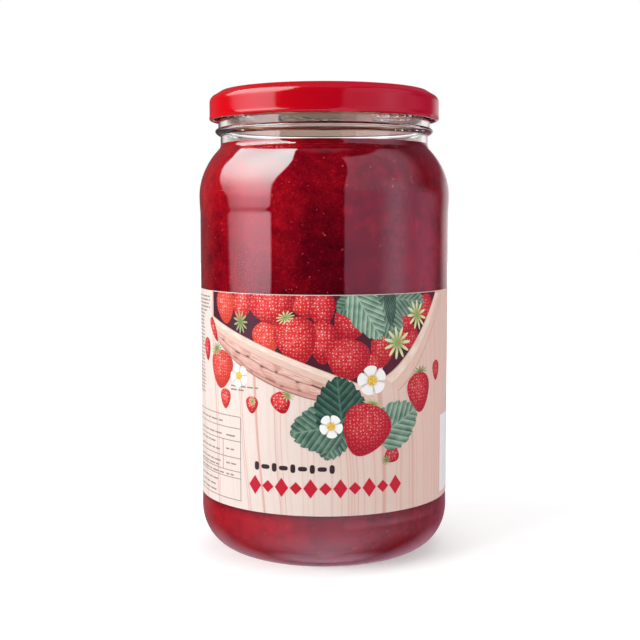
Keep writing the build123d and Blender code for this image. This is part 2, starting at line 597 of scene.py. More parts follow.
def new_group(
    name: str, inputs: dict[str, str], outputs: dict[str, str]
) -> tuple[Bench, Sequence[Socket], Sequence[Socket]]:
    """Starts a node group.

    Args:
        name: the group's name.
        inputs: the kind of each named input: Float, Vector or Color.
        outputs: the same for its outputs.

    Returns:
        A bench on the group's tree, the sockets that come into it and the ones that leave it.
    """
    tree = bpy.data.node_groups.new(name, "ShaderNodeTree")
    for direction, sockets in (("INPUT", inputs), ("OUTPUT", outputs)):
        for socket, kind in sockets.items():
            tree.interface.new_socket(socket, in_out=direction, socket_type="NodeSocket" + kind)
    return Bench(tree), tree.nodes.new("NodeGroupInput").outputs, tree.nodes.new("NodeGroupOutput").inputs


def pulp_group() -> Tree:
    """Fruit pulp: dark syrup with clouds of brighter pulp and fine flecks.

    Inputs are the point and the painted light, which lifts the pulp where the jar is lit. Outputs are the
    colour and a height.

    Returns:
        The group's tree.
    """
    inputs, outputs = {"Point": "Vector", "Light": "Float"}, {"Colour": "Color", "Height": "Float"}
    bench, coming, leaving = new_group("pulp", inputs, outputs)
    point = coming["Point"]
    height = (bench.noise(point, 60.0, 3.0, 0.55) + bench.noise(point, 260.0, 3.0, 0.6)) * 0.5
    flecks = bench.noise(point, 1300.0, 2.0, 0.6)
    # The painted light in Light moves the pulp up its ramp and brings out the pale flecks.
    swing = (height - 0.5) * 1.7 + coming["Light"]
    stops = {
        0.0: (0.052, 0.0005, 0.0045),
        0.3: (0.11, 0.0008, 0.0055),
        0.6: (0.22, 0.0018, 0.008),
        1.0: (0.40, 0.005, 0.011),
    }
    fleck = flecks.step(0.50, 0.74) * swing.step(0.0, 0.8, 0.12, 0.42)
    dark = flecks.step(0.44, 0.30) * 0.25
    lighter = bench.mix(fleck, bench.ramp(swing, stops), (0.44, 0.022, 0.022))
    bench.feed(leaving["Colour"], bench.mix(dark, lighter, (0.045, 0.0005, 0.004)))
    bench.feed(leaving["Height"], height)
    return bench.tree


def print_group() -> Tree:
    """Ink on coated paper: a faint mottle in the colour and in the gloss.

    Inputs are the ink's colour, the place on the label in centimetres, and how strong the mottle is.
    Outputs are the colour, the roughness and a height for the paper's tooth.

    Returns:
        The group's tree.
    """
    inputs = {"Ink": "Color", "Place": "Vector", "Mottle": "Float"}
    outputs = {"Colour": "Color", "Roughness": "Float", "Height": "Float"}
    bench, coming, leaving = new_group("coated_print", inputs, outputs)
    tooth = bench.noise(coming["Place"], 60.0, 3.0, 0.6)
    cloud = bench.noise(coming["Place"], 3.0, 2.0, 0.5)
    value = (tooth + cloud - 1.0) * coming["Mottle"] + 1.0
    bench.feed(leaving["Colour"], bench.output("HueSaturation", {"Value": value, "Color": coming["Ink"]}))
    bench.feed(leaving["Roughness"], cloud * 0.14 + 0.36)
    bench.feed(leaving["Height"], tooth)
    return bench.tree


# ---- Finishes ----


@dataclass(frozen=True)
class ClearGlass:
    """Moulded soda glass, very faintly green, with a soft cold ripple in its surface."""

    tint: Floats = (0.965, 0.985, 0.975)
    ior: float = 1.52
    ripple: float = 0.12

    def made(self) -> Material:
        """Lets lamps shine through, and refracts everything else.

        Returns:
            The material.
        """
        material, bench, shader = new_material("clear_glass")
        swell = bench.noise(bench.stretched(bench.place(), (1.0, 1.0, 0.6)), 38.0, 1.0)
        inputs = {
            "Base Color": self.tint,
            "Roughness": 0.0,
            "Transmission Weight": 1.0,
            "IOR": self.ior,
            "Normal": bench.bump(swell, self.ripple, 0.6 * MM),
        }
        bench.feed_all(shader, inputs)
        through = bench.output("BsdfTransparent", {0: (1, 1, 1)})
        shadow = bench.output("LightPath", {}, "Is Shadow Ray")
        mixed = bench.output("MixShader", {0: shadow, 1: shader.outputs[0], 2: through})
        bench.feed(material.node_tree.nodes["Material Output"].inputs["Surface"], mixed)
        return material


class Lacquer(Enum):
    """The two lacquers on the lid's tinplate: colour, metal share, roughness and side colours.

    The side colours are painted light: a brighter, warmer red towards the left, where the key lamp falls,
    and a deeper, bluer red towards the right, in the pink fill light.
    """

    RED = ((0.47, 0.0015, 0.0080), 0.0, 0.09, ((0.66, 0.0022, 0.0080), (0.43, 0.0012, 0.0220)))
    GOLD = ((0.95, 0.64, 0.45), 0.85, 0.30, None)

    def made(self) -> Material:
        """Stoved lacquer with a faint orange peel, a little cloudy.

        Returns:
            The material.
        """
        colour, metal, roughness, sides = self.value
        material, bench, shader = new_material("lid_" + self.name.lower())
        place = bench.place()
        cloud = bench.noise(place, 55.0, 3.0)
        base = bench.mix(cloud, tuple(part * 0.86 for part in colour), colour)
        # Painted light: the red turns brighter and warmer towards the left and deeper and bluer towards the
        # right.
        if sides:
            across = bench.parts(place)[0]
            base = bench.mix(across.step(0.0, -0.055), base, sides[0])
            base = bench.mix(across.step(-0.015, 0.045), base, sides[1])
        inputs = {
            "Base Color": base,
            "Roughness": cloud * 0.06 + roughness,
            "Normal": bench.bump(bench.noise(place, 1500.0, 2.0), 0.04, 0.05 * MM),
            "Metallic": metal,
            "Specular IOR Level": 0.24,
        }
        bench.feed_all(shader, inputs)
        return material


def painted_pulp_light(bench: Bench, place: Socket, light: float) -> Signal:
    """Painted light in the pulp: how bright it is painted at a place, brighter at the left and the right,
    where the lamps light the jar, and brighter high and low.

    Args:
        bench: the tree to work on.
        place: the point, in metres.
        light: what to add everywhere.

    Returns:
        A value from about 0 to 1.
    """
    drift = bench.noise(place, 26.0, 2.0) * 0.024 - 0.012
    x, _, z = bench.parts(place)
    # Painted light: the pulp is painted brighter towards the left and right sides, and high and low.
    left = (x + drift).step(-0.002, -0.017, 0.0, 0.36)
    right = (x + drift).step(0.012, 0.032)
    high = (z + drift).step(0.112, 0.138, 0.0, 0.26) * (1.0 - right * 0.45)
    low = z.step(0.034, 0.016, 0.0, 0.34) * (1.0 - right * 0.8)
    return left + right * z.step(0.140, 0.116, 0.0, 0.25) + high + low + light


def under_skin(depth: float) -> Inputs:
    """Shader inputs for a little red light carried under the surface, this deep."""
    return {"Subsurface Weight": 0.2, "Subsurface Radius": (1.0, 0.12, 0.1), "Subsurface Scale": depth}


@dataclass(frozen=True)
class Pulp:
    """Jam, against the glass and at its top."""

    name: str
    light: float = 0.2

    def made(self, group: Tree) -> Material:
        """Pulp with a little light carried under its surface.

        Args:
            group: the pulp's node group.

        Returns:
            The material.
        """
        material, bench, shader = new_material(self.name)
        place = bench.place()
        pulp = bench.group(group, {"Point": place, "Light": painted_pulp_light(bench, place, self.light)}).outputs
        inputs = {
            "Base Color": pulp["Colour"],
            "Normal": bench.bump(pulp["Height"], 0.25, 0.8 * MM),
            "Roughness": 0.3,
            "Specular IOR Level": 0.0,
            **under_skin(2.5 * MM),
        }
        bench.feed_all(shader, inputs)
        return material


@dataclass(frozen=True)
class Fruit:
    """Pieces of soft fruit pressed against the glass, which fade into the jam at their edges."""

    flesh: Floats = (0.30, 0.004, 0.011)
    pale: Floats = (0.42, 0.022, 0.022)
    light: float = 0.2

    def made(self, group: Tree) -> Material:
        """Flesh with pale threads. The mark "spot" holds the place in the piece, and its tone.

        Args:
            group: the pulp's node group.

        Returns:
            The material.
        """
        material, bench, shader = new_material("soft_fruit")
        place = bench.place()
        across, along, tone = bench.parts(bench.mark("spot"))
        light = painted_pulp_light(bench, place, self.light)
        pulp = bench.group(group, {"Point": place, "Light": light}).outputs
        threads = bench.noise(bench.stretched(place, (1.0, 1.0, 0.35)), 620.0, 3.0, 0.7)
        flesh = bench.mix(threads.step(0.52, 0.72), self.flesh, self.pale)
        edge = from_middle(across, along) + bench.noise(place, 260.0, 2.0) * 0.7 - 0.35
        # The fruit shows more where the pulp is painted brighter by painted light.
        share = edge.step(0.95, 0.25) * light.step(0.15, 0.8, 0.12, 0.75) * tone
        inputs = {
            "Base Color": bench.mix(share, pulp["Colour"], flesh),
            "Roughness": 0.35,
            "Specular IOR Level": 0.0,
            **under_skin(2.0 * MM),
        }
        bench.feed_all(shader, inputs)
        return material


class Grain(Enum):
    """Small hard things in the jam: colour in the light, colour in the dark."""

    PIP = ((0.46, 0.060, 0.035), (0.24, 0.012, 0.012))
    FROTH = ((0.62, 0.14, 0.14), (0.34, 0.02, 0.03))

    def made(self) -> Material:
        """A colour that changes from grain to grain.

        Returns:
            The material.
        """
        light, dark = self.value
        material, bench, shader = new_material("jam_" + self.name.lower())
        share = bench.noise(bench.place(), 240.0, 1.0).step(0.35, 0.65)
        inputs = {"Base Color": bench.mix(share, dark, light), "Roughness": 0.3, "Specular IOR Level": 0.1}
        bench.feed_all(shader, inputs)
        return material


class PrintShop:
    """Makes the label's printed finishes, which all lie on the same coated paper."""

    def __init__(self) -> None:
        """Builds the group that every printed finish passes its ink through."""
        self.group = print_group()

    def printed(self, name: str, mottle: float) -> tuple[Material, Bench, Socket]:
        """Starts a printed finish.

        Args:
            name: the material's name.
            mottle: how uneven the ink lies.

        Returns:
            The material, its bench, and the socket that the ink's colour is still to be fed to.
        """
        material, bench, shader = new_material(name)
        ink = bench.group(self.group, {"Place": bench.mark("place"), "Mottle": mottle})
        inputs = {
            "Base Color": ink.outputs["Colour"],
            "Roughness": ink.outputs["Roughness"],
            "Normal": bench.bump(ink.outputs["Height"], 0.08, 0.04 * MM),
            "Specular IOR Level": 0.22,
        }
        bench.feed_all(shader, inputs)
        return material, bench, ink.inputs["Ink"]

    def plain(self, name: str, colour: Floats) -> Material:
        """One ink, laid flat.

        Args:
            name: the material's name.
            colour: the ink.

        Returns:
            The material.
        """
        material, bench, ink = self.printed(name, 0.1)
        bench.feed(ink, colour)
        return material

    def wood(self) -> Material:
        """Pale planed wood: straight upright grain that leans a little, fine pores, and pink lines.

        It is creamy at the left and rosier to the right, where the rings crowd.

        Returns:
            The material.
        """
        material, bench, ink = self.printed("label_paper", 0.04)
        place = bench.mark("place")
        across, up, _ = bench.parts(place)
        sway = bench.noise(bench.stretched(place, (0.3, 0.12, 1)), 1.0, 1.0) * 0.9 - 0.45
        ring = bench.output("CombineXYZ", {0: up * 0.05 + across + sway})
        fine = bench.noise(bench.stretched(place, (9.0, 0.25, 1)), 3.0, 3.0, 0.6)
        wide = bench.noise(ring, 1.7, 2.0, 0.5)
        narrow = bench.noise(ring, 6.5, 2.0, 0.6)
        rosy = (wide * 6.0 + across).step(-0.5, 7.0)
        base = bench.mix(rosy, (0.77, 0.670, 0.615), (0.71, 0.53, 0.46))
        band = narrow.step(0.52, 0.60) * rosy.step(0.0, 0.8, 0.12, 0.7)
        grain = bench.mix(band, base, (0.68, 0.42, 0.34))
        grain = bench.mix(fine.step(0.50, 0.85, 0.0, 0.5), grain, (0.64, 0.44, 0.38))
        line = wide.step(0.555, 0.585) * wide.step(0.615, 0.585)
        bench.feed(ink, bench.mix(line * 0.75, grain, (0.62, 0.30, 0.25)))
        return material

    def berries(self) -> Material:
        """Ripe berries: pale pips in dark dimples on a red that glows towards one side.

        They are deeper and duller towards the right of the label.

        Returns:
            The material.
        """
        material, bench, ink = self.printed("print_berries", 0.05)
        x, y, tone = bench.parts(bench.mark("shape"))
        place = bench.mark("place")
        away = from_middle(x + 0.15, y - 0.25)
        reds = {0.0: (0.80, 0.035, 0.045), 0.5: (0.66, 0.010, 0.022), 1.0: (0.36, 0.002, 0.014)}
        body = bench.ramp(away, reds)
        body = bench.mix(tone * 0.6, body, (0.80, 0.085, 0.035))
        inputs = {"Vector": place, "Scale": 8.2, "Randomness": 0.5}
        near = Signal(bench, bench.output("TexVoronoi", inputs, "Distance", voronoi_dimensions="2D"))
        bright = bench.noise(place, 5.0, 2.0, 0.6).step(0.42, 0.62) * away.step(0.95, 0.25)
        body = bench.mix(bright * 0.30, body, (0.92, 0.30, 0.28))
        deep = bench.parts(place)[0].step(-1.2, 1.6, 0.0, 0.5)
        body = bench.mix(deep, body, (0.36, 0.004, 0.026))
        body = bench.mix(near.window(0.26, 0.40, 0.08) * 0.60, body, (0.30, 0.001, 0.010))
        pip = near.step(0.29, 0.17) * away.step(1.15, 0.4, 0.22, 0.80) * (1.1 - deep)
        pale = bench.mix(bright, (0.80, 0.24, 0.17), (0.97, 0.66, 0.60))
        bench.feed(ink, bench.mix(pip, body, pale))
        return material

    def leaves(self) -> Material:
        """Toothed leaves with a midrib and slanting side veins, dark to pale by their tone.

        The blade is lighter on one side of every side vein and darker on the other, as it is pleated.

        Returns:
            The material.
        """
        material, bench, ink = self.printed("print_leaves", 0.10)
        x, y, tone = bench.parts(bench.mark("shape"))
        side = abs(x)
        pleat = bench.math("FRACT", (y - side * 0.85) * 3.2)
        vein = pleat.step(0.10, 0.02).at_least(side.step(0.055, 0.015))
        fold = pleat + bench.noise(bench.mark("place"), 2.6, 3.0) * 1.4 - 0.7
        dark = {0.0: (0.007, 0.026, 0.022), 0.5: (0.016, 0.062, 0.044), 1.0: (0.060, 0.15, 0.105)}
        pale = {0.0: (0.045, 0.14, 0.095), 0.5: (0.18, 0.33, 0.24), 1.0: (0.42, 0.55, 0.42)}
        blade = bench.mix(tone, bench.ramp(fold, dark), bench.ramp(fold, pale))
        ribs = bench.mix(tone, (0.08, 0.22, 0.14), (0.50, 0.62, 0.48))
        bench.feed(ink, bench.mix(vein * 0.55, blade, ribs))
        return material

    def blossoms(self) -> Material:
        """White five-petalled flowers, grey in the gaps, with a gold middle.

        Returns:
            The material.
        """
        material, bench, ink = self.printed("print_blossoms", 0.04)
        x, y, _ = bench.parts(bench.mark("shape"))
        out = from_middle(x, y)
        gap = abs(bench.math("COSINE", bench.math("ARCTAN2", x, y) * 2.5))
        soft = gap.step(0.05, 0.45) * out.step(0.25, 0.6, 0.55, 1.0)
        petal = bench.mix(soft, (0.52, 0.50, 0.47), (0.90, 0.89, 0.88))
        dots = bench.noise(bench.mark("place"), 22.0, 1.0).step(0.42, 0.6)
        gold = bench.mix(dots, (0.62, 0.33, 0.03), (0.86, 0.66, 0.14))
        bench.feed(ink, bench.mix(out.step(0.40, 0.30), petal, gold))
        return material

    def sepals(self) -> Material:
        """Yellow-green sepals, darker towards the middle of the star.

        Returns:
            The material.
        """
        material, bench, ink = self.printed("print_sepals", 0.15)
        x, y, tone = bench.parts(bench.mark("shape"))
        green = bench.mix(from_middle(x, y).step(0.1, 0.7), (0.25, 0.34, 0.10), (0.70, 0.72, 0.40))
        bench.feed(ink, bench.mix(tone, (0.09, 0.16, 0.05), green))
        return material

    def wicker(self) -> Material:
        """Split-wood basket: the mark's x runs along the band in centimetres and y across it.

        A tone of 1 is the pale flat rim, and 0 the woven side below it: rows of flat strands that
        show and hide in turn, darker where they dip, with dark slits between them.

        Returns:
            The material.
        """
        material, bench, ink = self.printed("print_basket", 0.10)
        shape = bench.mark("shape")
        along, across, tone = bench.parts(shape)
        grain = bench.noise(bench.stretched(shape, (0.8, 7.0, 1)), 3.0, 3.0)
        streak = grain.step(0.3, 0.7)
        rim = bench.mix(streak, (0.74, 0.53, 0.43), (0.87, 0.76, 0.67))
        rim = bench.mix(across.step(0.50, 0.56) * 0.55, rim, (0.66, 0.40, 0.32))
        edge = across.step(0.10, 0.0).at_least(across.step(0.90, 1.0))
        seam = across.window(0.47, 0.53, 0.04) * grain.step(0.35, 0.6)
        rim = bench.mix(edge.at_least(seam) * 0.6, rim, (0.42, 0.19, 0.15))
        rows = bench.noise(shape, 0.8, 1.0) * 0.5 + across * 2.2
        odd = bench.math("MODULO", bench.math("FLOOR", rows), 2.0) * 0.5
        weft = bench.math("FRACT", along * 0.72 + bench.noise(shape, 1.6, 1.0) * 1.3 + odd)
        strand = abs(bench.math("FRACT", rows) - 0.5)
        dip = weft.step(0.25, 0.0).at_least(weft.step(0.75, 1.0))
        slit = dip.step(0.55, 0.9) * strand.step(0.26, 0.42)
        weave = bench.mix(streak, (0.58, 0.31, 0.25), (0.80, 0.58, 0.50))
        for share, colour in (
            (dip * 0.6, (0.50, 0.23, 0.19)),
            (strand.step(0.34, 0.50, 0.0, 0.7), (0.36, 0.13, 0.11)),
            (slit * 0.9, (0.07, 0.02, 0.02)),
            (across.step(0.40, 0.90, 0.0, 0.50), (0.52, 0.22, 0.18)),
            (across.step(0.90, 0.98, 0.0, 0.65), (0.16, 0.05, 0.05)),
        ):
            weave = bench.mix(share, weave, colour)
        bench.feed(ink, bench.mix(tone, weave, rim))
        return material

    def shade(self) -> Material:
        """The dark between the berries.

        Returns:
            The material.
        """
        material, bench, ink = self.printed("print_shade", 0.2)
        cloud = bench.noise(bench.mark("place"), 2.2, 2.0)
        bench.feed(ink, bench.mix(cloud, (0.075, 0.003, 0.012), (0.020, 0.012, 0.022)))
        return material


# ---- Glass and jam ----


@dataclass
class JarShape:
    """Sizes of the glass and of its inside. The jam takes its shape from the same ones."""

    band_radius: float
    rim_top: float
    floor: float
    jam_level: float
    panel_bottom: float = 20.6 * MM
    panel_top: float = 124.5 * MM
    band_step: float = 0.4 * MM
    lower_ease: float = 14.0 * MM
    upper_ease: float = 13.0 * MM
    shoulder_start: float = 130.5 * MM
    shoulder_radius: float = 25.5 * MM
    shoulder_hollow: float = 3.0 * MM
    cavity_hollow: float = 5.0 * MM
    wall: float = 2.5 * MM
    heel_height: float = 17.0 * MM
    heel_width: float = 14.0 * MM
    bearing_width: float = 3.2 * MM
    push_up: float = 3.0 * MM
    floor_dome: float = 2.0 * MM
    neck_radius: float = 38.5 * MM
    bead_height: float = 2.8 * MM
    bead_reach: float = 1.9 * MM
    finish_radius: float = 39.3 * MM
    finish_height: float = 13.2 * MM
    rim_wall: float = 3.1 * MM
    rim_round: float = 1.3 * MM

    @classmethod
    def from_frame(cls) -> "JarShape":
        """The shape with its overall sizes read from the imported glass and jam.

        Returns:
            The shape.
        """
        glass_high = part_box("jar")[1]
        jam_low, jam_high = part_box("jam")
        return cls(glass_high.x, glass_high.z, jam_low.z, jam_high.z)

    @property
    def panel_radius(self) -> float:
        """Radius of the band that carries the label."""
        return self.band_radius - self.band_step

    @property
    def cavity_radius(self) -> float:
        """Radius of the inside of the body."""
        return self.panel_radius - self.wall

    @property
    def mouth_radius(self) -> float:
        """Radius of the inside of the neck."""
        return self.finish_radius - self.rim_wall

    @property
    def bead_top(self) -> float:
        """Height at which the threaded finish stands on the bead."""
        return self.rim_top - self.finish_height

    def shoulder(self, body: float, radius: float, neck: float, hollow: float) -> Array:
        """An arc that turns in from an upright wall, then a hollow that turns it up into the neck.

        The hollow's centre stands its own radius outside the neck and radius + hollow from the
        centre of the shoulder's arc, so that it touches both.

        Args:
            body: radius of the wall below.
            radius: radius of the shoulder's arc.
            neck: radius of the neck above.
            hollow: radius of the hollow between them.

        Returns:
            The path from the start of the shoulder to the foot of the neck.
        """
        centre = np.array([body - radius, self.shoulder_start])
        across = neck + hollow - centre[0]
        rise = np.sqrt((radius + hollow) ** 2 - across**2)
        turned = np.degrees(np.arctan2(rise, across))
        hollow_centre = centre + (across, rise)
        return chained(
            arc(centre, (radius, radius), 0, turned, 30),
            arc(hollow_centre, (hollow, hollow), 180 + turned, -turned, 10),
        )

    def panel_share(self, height: Array) -> Array:
        """How deep the label's panel is at a height, from 0 on the bands to 1.

        It eases in from the heel. At its top it eases out fast at first and then ever more slowly, as
        1 - (1 - t)^2, so that the band above it seems to swell.

        Args:
            height: heights on the body.

        Returns:
            The share at each height.
        """
        into = smooth_step(self.panel_bottom - self.lower_ease, self.panel_bottom, height)
        t = np.clip((height - self.panel_top) / self.upper_ease, 0, 1)
        start = smooth_step(0, 0.2, t)
        return into * (1 - start * (1 - (1 - t) ** 2))

    def outer_path(self) -> Array:
        """The outside from the middle of the underside up to the rim.

        The underside is a dome z = push_up (1 - (r / edge)^2), the panel is sunk into the body, and the
        bead is a bump cos(pi x / 2) ^ 0.7 over its height.

        Returns:
            The path, from the axis.
        """
        bearing_outer = self.band_radius - self.heel_width
        bearing_inner = bearing_outer - self.bearing_width
        r = np.linspace(0, bearing_inner, 24)
        rise = self.push_up * (1 - (r / bearing_inner) ** 2)
        dome = np.column_stack([r, np.maximum(rise, 0)])
        heel = arc((bearing_outer, self.heel_height), (self.heel_width, self.heel_height), -90, 90, 40)
        z = np.linspace(self.heel_height, self.shoulder_start, 190)
        body = np.column_stack([np.full_like(z, self.band_radius), z])
        x = np.linspace(-1, 1, 25)
        middle = (self.neck_radius + self.finish_radius) / 2
        tip = self.neck_radius + self.bead_reach - middle
        base = self.neck_radius + (self.finish_radius - self.neck_radius) * smooth_step(-1, 1, x)
        bulge = base + tip * np.cos(np.pi * x / 2).clip(0) ** 0.7
        bead_path = np.column_stack([bulge, self.bead_top + (x - 1) / 2 * self.bead_height])
        finish = rounded(
            [
                (self.finish_radius, self.bead_top),
                (self.finish_radius, self.rim_top),
                (self.mouth_radius, self.rim_top),
                (self.mouth_radius, self.rim_top - self.finish_height),
            ],
            [self.rim_round, self.rim_round],
            8,
        )
        radii = (self.band_radius, self.shoulder_radius, self.neck_radius, self.shoulder_hollow)
        lower = chained(dome, (bearing_outer, 0.0), heel, body, self.shoulder(*radii))
        lower[:, 0] -= self.band_step * self.panel_share(lower[:, 1]) * (lower[:, 0] > bearing_outer)
        return chained(lower, bead_path, resampled(finish, 0.35 * MM))

    def cavity_path(self, grown: float = 0.0) -> Array:
        """The inside from the middle of its floor up to the foot of the neck.

        Args:
            grown: how far the path is moved out into the glass.

        Returns:
            The path, from the axis.
        """
        radius = self.cavity_radius + grown
        low = self.floor - grown
        heel_width = self.heel_width - self.wall
        heel_height = self.heel_height - self.wall
        edge = self.cavity_radius - heel_width
        r = np.linspace(0, edge, 30)
        dome = np.column_stack([r, low + self.floor_dome * (1 - (r / edge) ** 2)])
        heel = arc((edge, self.floor + heel_height), (heel_width + grown, heel_height + grown), -90, 90, 30)
        shoulder_radius = self.shoulder_radius - self.wall + grown
        hollow = self.cavity_hollow - grown
        shoulder = self.shoulder(radius, shoulder_radius, self.mouth_radius + grown, hollow)
        return chained(dome, heel, resampled(np.vstack([heel[-1:], shoulder[:1]]), 1.5 * MM), shoulder)


@dataclass
class Thread:
    """The raised starts on the finish that the lid's lugs grip."""

    starts: int = 6
    phase: float = 9.0
    arc: float = 42.0
    slope: float = 3.6
    middle: float = 162.33 * MM
    reach: float = 1.8 * MM
    root: float = 2.4 * MM
    crest: float = 1.2 * MM
    taper: float = 3.0

    def height_out(self, height: Array, turn: Array, radius: float) -> Array:
        """How far the thread stands out: a trapezium across a line that climbs as it turns.

        Args:
            height: heights of the grid's rows.
            turn: turns of its columns.
            radius: radius of the finish.

        Returns:
            What to add to the radius, for each row and column.
        """
        out = np.zeros(np.broadcast(height, turn).shape)
        flank = (self.root - self.crest) / 2
        for start in range(self.starts):
            apart = angle_apart(turn, np.radians(self.phase + start * 360 / self.starts))
            line = self.middle + radius * np.tan(np.radians(self.slope)) * apart
            across = np.clip((self.root / 2 - np.abs(height - line)) / flank, 0, 1)
            half = np.radians(self.arc / 2)
            along = smooth_step(half, half - np.radians(self.taper), np.abs(apart))
            out = np.maximum(out, self.reach * across * along)
        return out


@dataclass
class GlassJar:
    """The moulded glass: one closed skin, outside, rim and inside."""

    shape: JarShape
    thread: Thread
    columns: int = 280
    sag: float = 0.05 * MM
    true_below: Floats = (25 * MM, 40 * MM)
    true_above: Floats = (150 * MM, 140 * MM)

    def skin(self) -> Skin:
        """The path spun round Z.

        The thread is added on the finish. The upright walls draw in by up to the sag, as
        (2 + sin 3t + sin(5t + 60 z)) / 4, so that reflections in them wander a little.

        Returns:
            The glass as one closed skin.
        """
        outer = self.shape.outer_path()
        path = chained(outer, self.shape.cavity_path()[::-1])
        turn = full_turn(self.columns)[None, :]
        radius = np.repeat(path[:, :1], self.columns, axis=1)
        height = path[:, 1:]
        outside = (np.arange(len(path)) < len(outer))[:, None]
        on_finish = outside & (height > self.shape.bead_top) & (radius > self.shape.neck_radius)
        radius = radius + on_finish * self.thread.height_out(height, turn, self.shape.finish_radius)
        on_body = outside * smooth_step(*self.true_below, height) * smooth_step(*self.true_above, height)
        wander = (2 + np.sin(3 * turn) + np.sin(5 * turn + 60 * height)) / 4
        return capped(round_axis(radius - self.sag * on_body * wander, height, turn))

    def build(self, finish: Material) -> Piece:
        """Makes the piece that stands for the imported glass.

        Args:
            finish: its material.

        Returns:
            The piece.
        """
        made = self.skin().made("glass_jar", [finish], crease=50)
        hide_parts("jar")
        return made


@dataclass
class JamFill:
    """The jam: a body that reaches into the wall, with fruit, pips and froth against the glass."""

    shape: JarShape
    columns: int = 240
    into_wall: float = 0.25 * MM
    top_dip: float = 0.7 * MM
    ripple: float = 0.25 * MM
    fruit_count: int = 95
    fruit_sizes: Floats = (2.5, 8.0)
    fruit_bulge: float = 0.16 * MM
    fruit_depth: float = 0.3 * MM
    fruit_sunk: float = 0.05 * MM
    pip_count: int = 700
    froth_count: int = 600
    seed: int = 5

    def path(self) -> Array:
        """The wall of the jam from the middle of its floor up to its level.

        Returns:
            The path, from the axis.
        """
        wall = self.shape.cavity_path(self.into_wall)
        straight = np.array([[self.shape.mouth_radius + self.into_wall, self.shape.jam_level]])
        return chained(wall[wall[:, 1] < self.shape.jam_level - MM], straight)

    def body(self) -> Skin:
        """The path spun round Z and closed by a top that dips towards the middle.

        The top is level - dip (1 - q^6) - ripple (1 - q^2), where q is the share of the radius and the
        ripple is a product of two sines.

        Returns:
            The jam's body as one closed skin.
        """
        wall = self.path()
        turn = full_turn(self.columns)[None, :]
        q = np.linspace(1, 0, 26)[1:, None]
        ripple = self.ripple * (1 + np.sin(3 * turn + 9 * q) * np.sin(2 * turn + 5 * q + 1)) * (1 - q**2)
        top = self.shape.jam_level - self.top_dip * (1 - q**6) - ripple * (q > 0)
        top[-1] = top[-1].mean()
        radius = np.repeat(np.vstack([wall[:, :1], q * wall[-1, 0]]), self.columns, axis=1)
        height = np.vstack([np.repeat(wall[:, 1:], self.columns, 1), top])
        return capped(round_axis(radius, height, turn))

    def wall_frames(self, height: Array, turn: Array) -> tuple[Array, Array]:
        """Places on the jam's wall and the directions there.

        Args:
            height: heights of the places.
            turn: their turns.

        Returns:
            The places, and for each the directions across, up along the wall and outwards.
        """
        wall = self.path()
        wall = wall[np.argmax(wall[:, 0] > self.shape.cavity_radius - self.shape.heel_width) :]
        radius = np.interp(height, wall[:, 1], wall[:, 0])
        slope = np.interp(height, wall[:, 1], np.gradient(wall[:, 0], wall[:, 1]))
        lean = np.arctan(slope)
        across = np.stack([np.cos(turn), np.sin(turn), np.zeros_like(turn)], axis=-1)
        level = round_axis(np.ones_like(turn), 0 * turn, turn)
        upright = np.array([0.0, 0.0, 1.0])
        up = level * np.sin(lean)[..., None] + upright * np.cos(lean)[..., None]
        out = level * np.cos(lean)[..., None] - upright * np.sin(lean)[..., None]
        return round_axis(radius, height, turn), np.stack([across, up, out], axis=-1)

    def fruit(self, random: Random) -> Skin:
        """Flat lumps with wavy outlines, each bulging by its depth (1 - p^2) from below the jam's skin.

        p runs from 0 in the middle to 1 at the outline, whose radius is
        1 + 0.2 sin(2t + a) + 0.12 sin(3t + b) + 0.07 sin(5t + c) times the lump's size.

        Args:
            random: where their places, sizes and tones are drawn from.

        Returns:
            All the lumps as one skin.
        """
        front, back = 8, 4
        t = np.linspace(0, 2 * np.pi, 28, endpoint=False)
        p = np.concatenate([np.linspace(0, 1, front), np.linspace(1, 0, back)])[:, None]
        upper = (np.arange(len(p)) < front)[:, None]
        skins = []
        for _ in range(self.fruit_count):
            middle = random.uniform(8 * MM, self.shape.jam_level - 12 * MM)
            turn = random.uniform(-np.pi, np.pi)
            size = random.uniform(*self.fruit_sizes) * MM
            squash = random.uniform(0.5, 1.0)
            a, b, c, spin = random.uniform(0, 2 * np.pi, 4)
            tone = random.uniform(0.15, 0.95)
            outline = 1 + 0.2 * np.sin(2 * t + a) + 0.12 * np.sin(3 * t + b) + 0.07 * np.sin(5 * t + c)
            x = p * outline * np.cos(t)
            y = p * outline * np.sin(t) * squash
            across = size * (x * np.cos(spin) - y * np.sin(spin))
            up = size * (x * np.sin(spin) + y * np.cos(spin))
            height = np.clip(middle + up, 6 * MM, self.shape.jam_level - 2 * MM)
            places, axes = self.wall_frames(height, turn + across / self.shape.cavity_radius)
            bulge = np.where(upper, self.fruit_bulge, -self.fruit_depth) * (1 - p**2) - self.fruit_sunk
            marks = np.stack([p * np.cos(t), p * np.sin(t), np.full_like(x, tone)], axis=-1)
            skins.append(capped(places + axes[..., 2] * bulge[..., None], {"spot": marks}))
        return joined(skins)

    def grains(self, random: Random, count: int, sizes: Floats, sunk: float) -> Skin:
        """Small beads set into the wall at random.

        Args:
            random: where the places and sizes are drawn from.
            count: how many.
            sizes: the largest length, width and depth.
            sunk: how deep their middles lie behind the jam's skin.

        Returns:
            All of them as one skin.
        """
        height = random.uniform(7 * MM, self.shape.jam_level - 1.5 * MM, count)
        turn = random.uniform(-np.pi, np.pi, count)
        places, axes = self.wall_frames(height, turn)
        spin = random.uniform(0, np.pi, count)
        cosine, sine = np.cos(spin)[:, None], np.sin(spin)[:, None]
        across = axes[..., 0] * cosine + axes[..., 1] * sine
        up = axes[..., 1] * cosine - axes[..., 0] * sine
        turned = np.stack([across, up, axes[..., 2]], axis=-1)
        scale = np.asarray(sizes) * random.uniform(0.45, 1.0, count)[:, None]
        return scattered(bead(6, 8), places - axes[..., 2] * sunk, turned, scale)

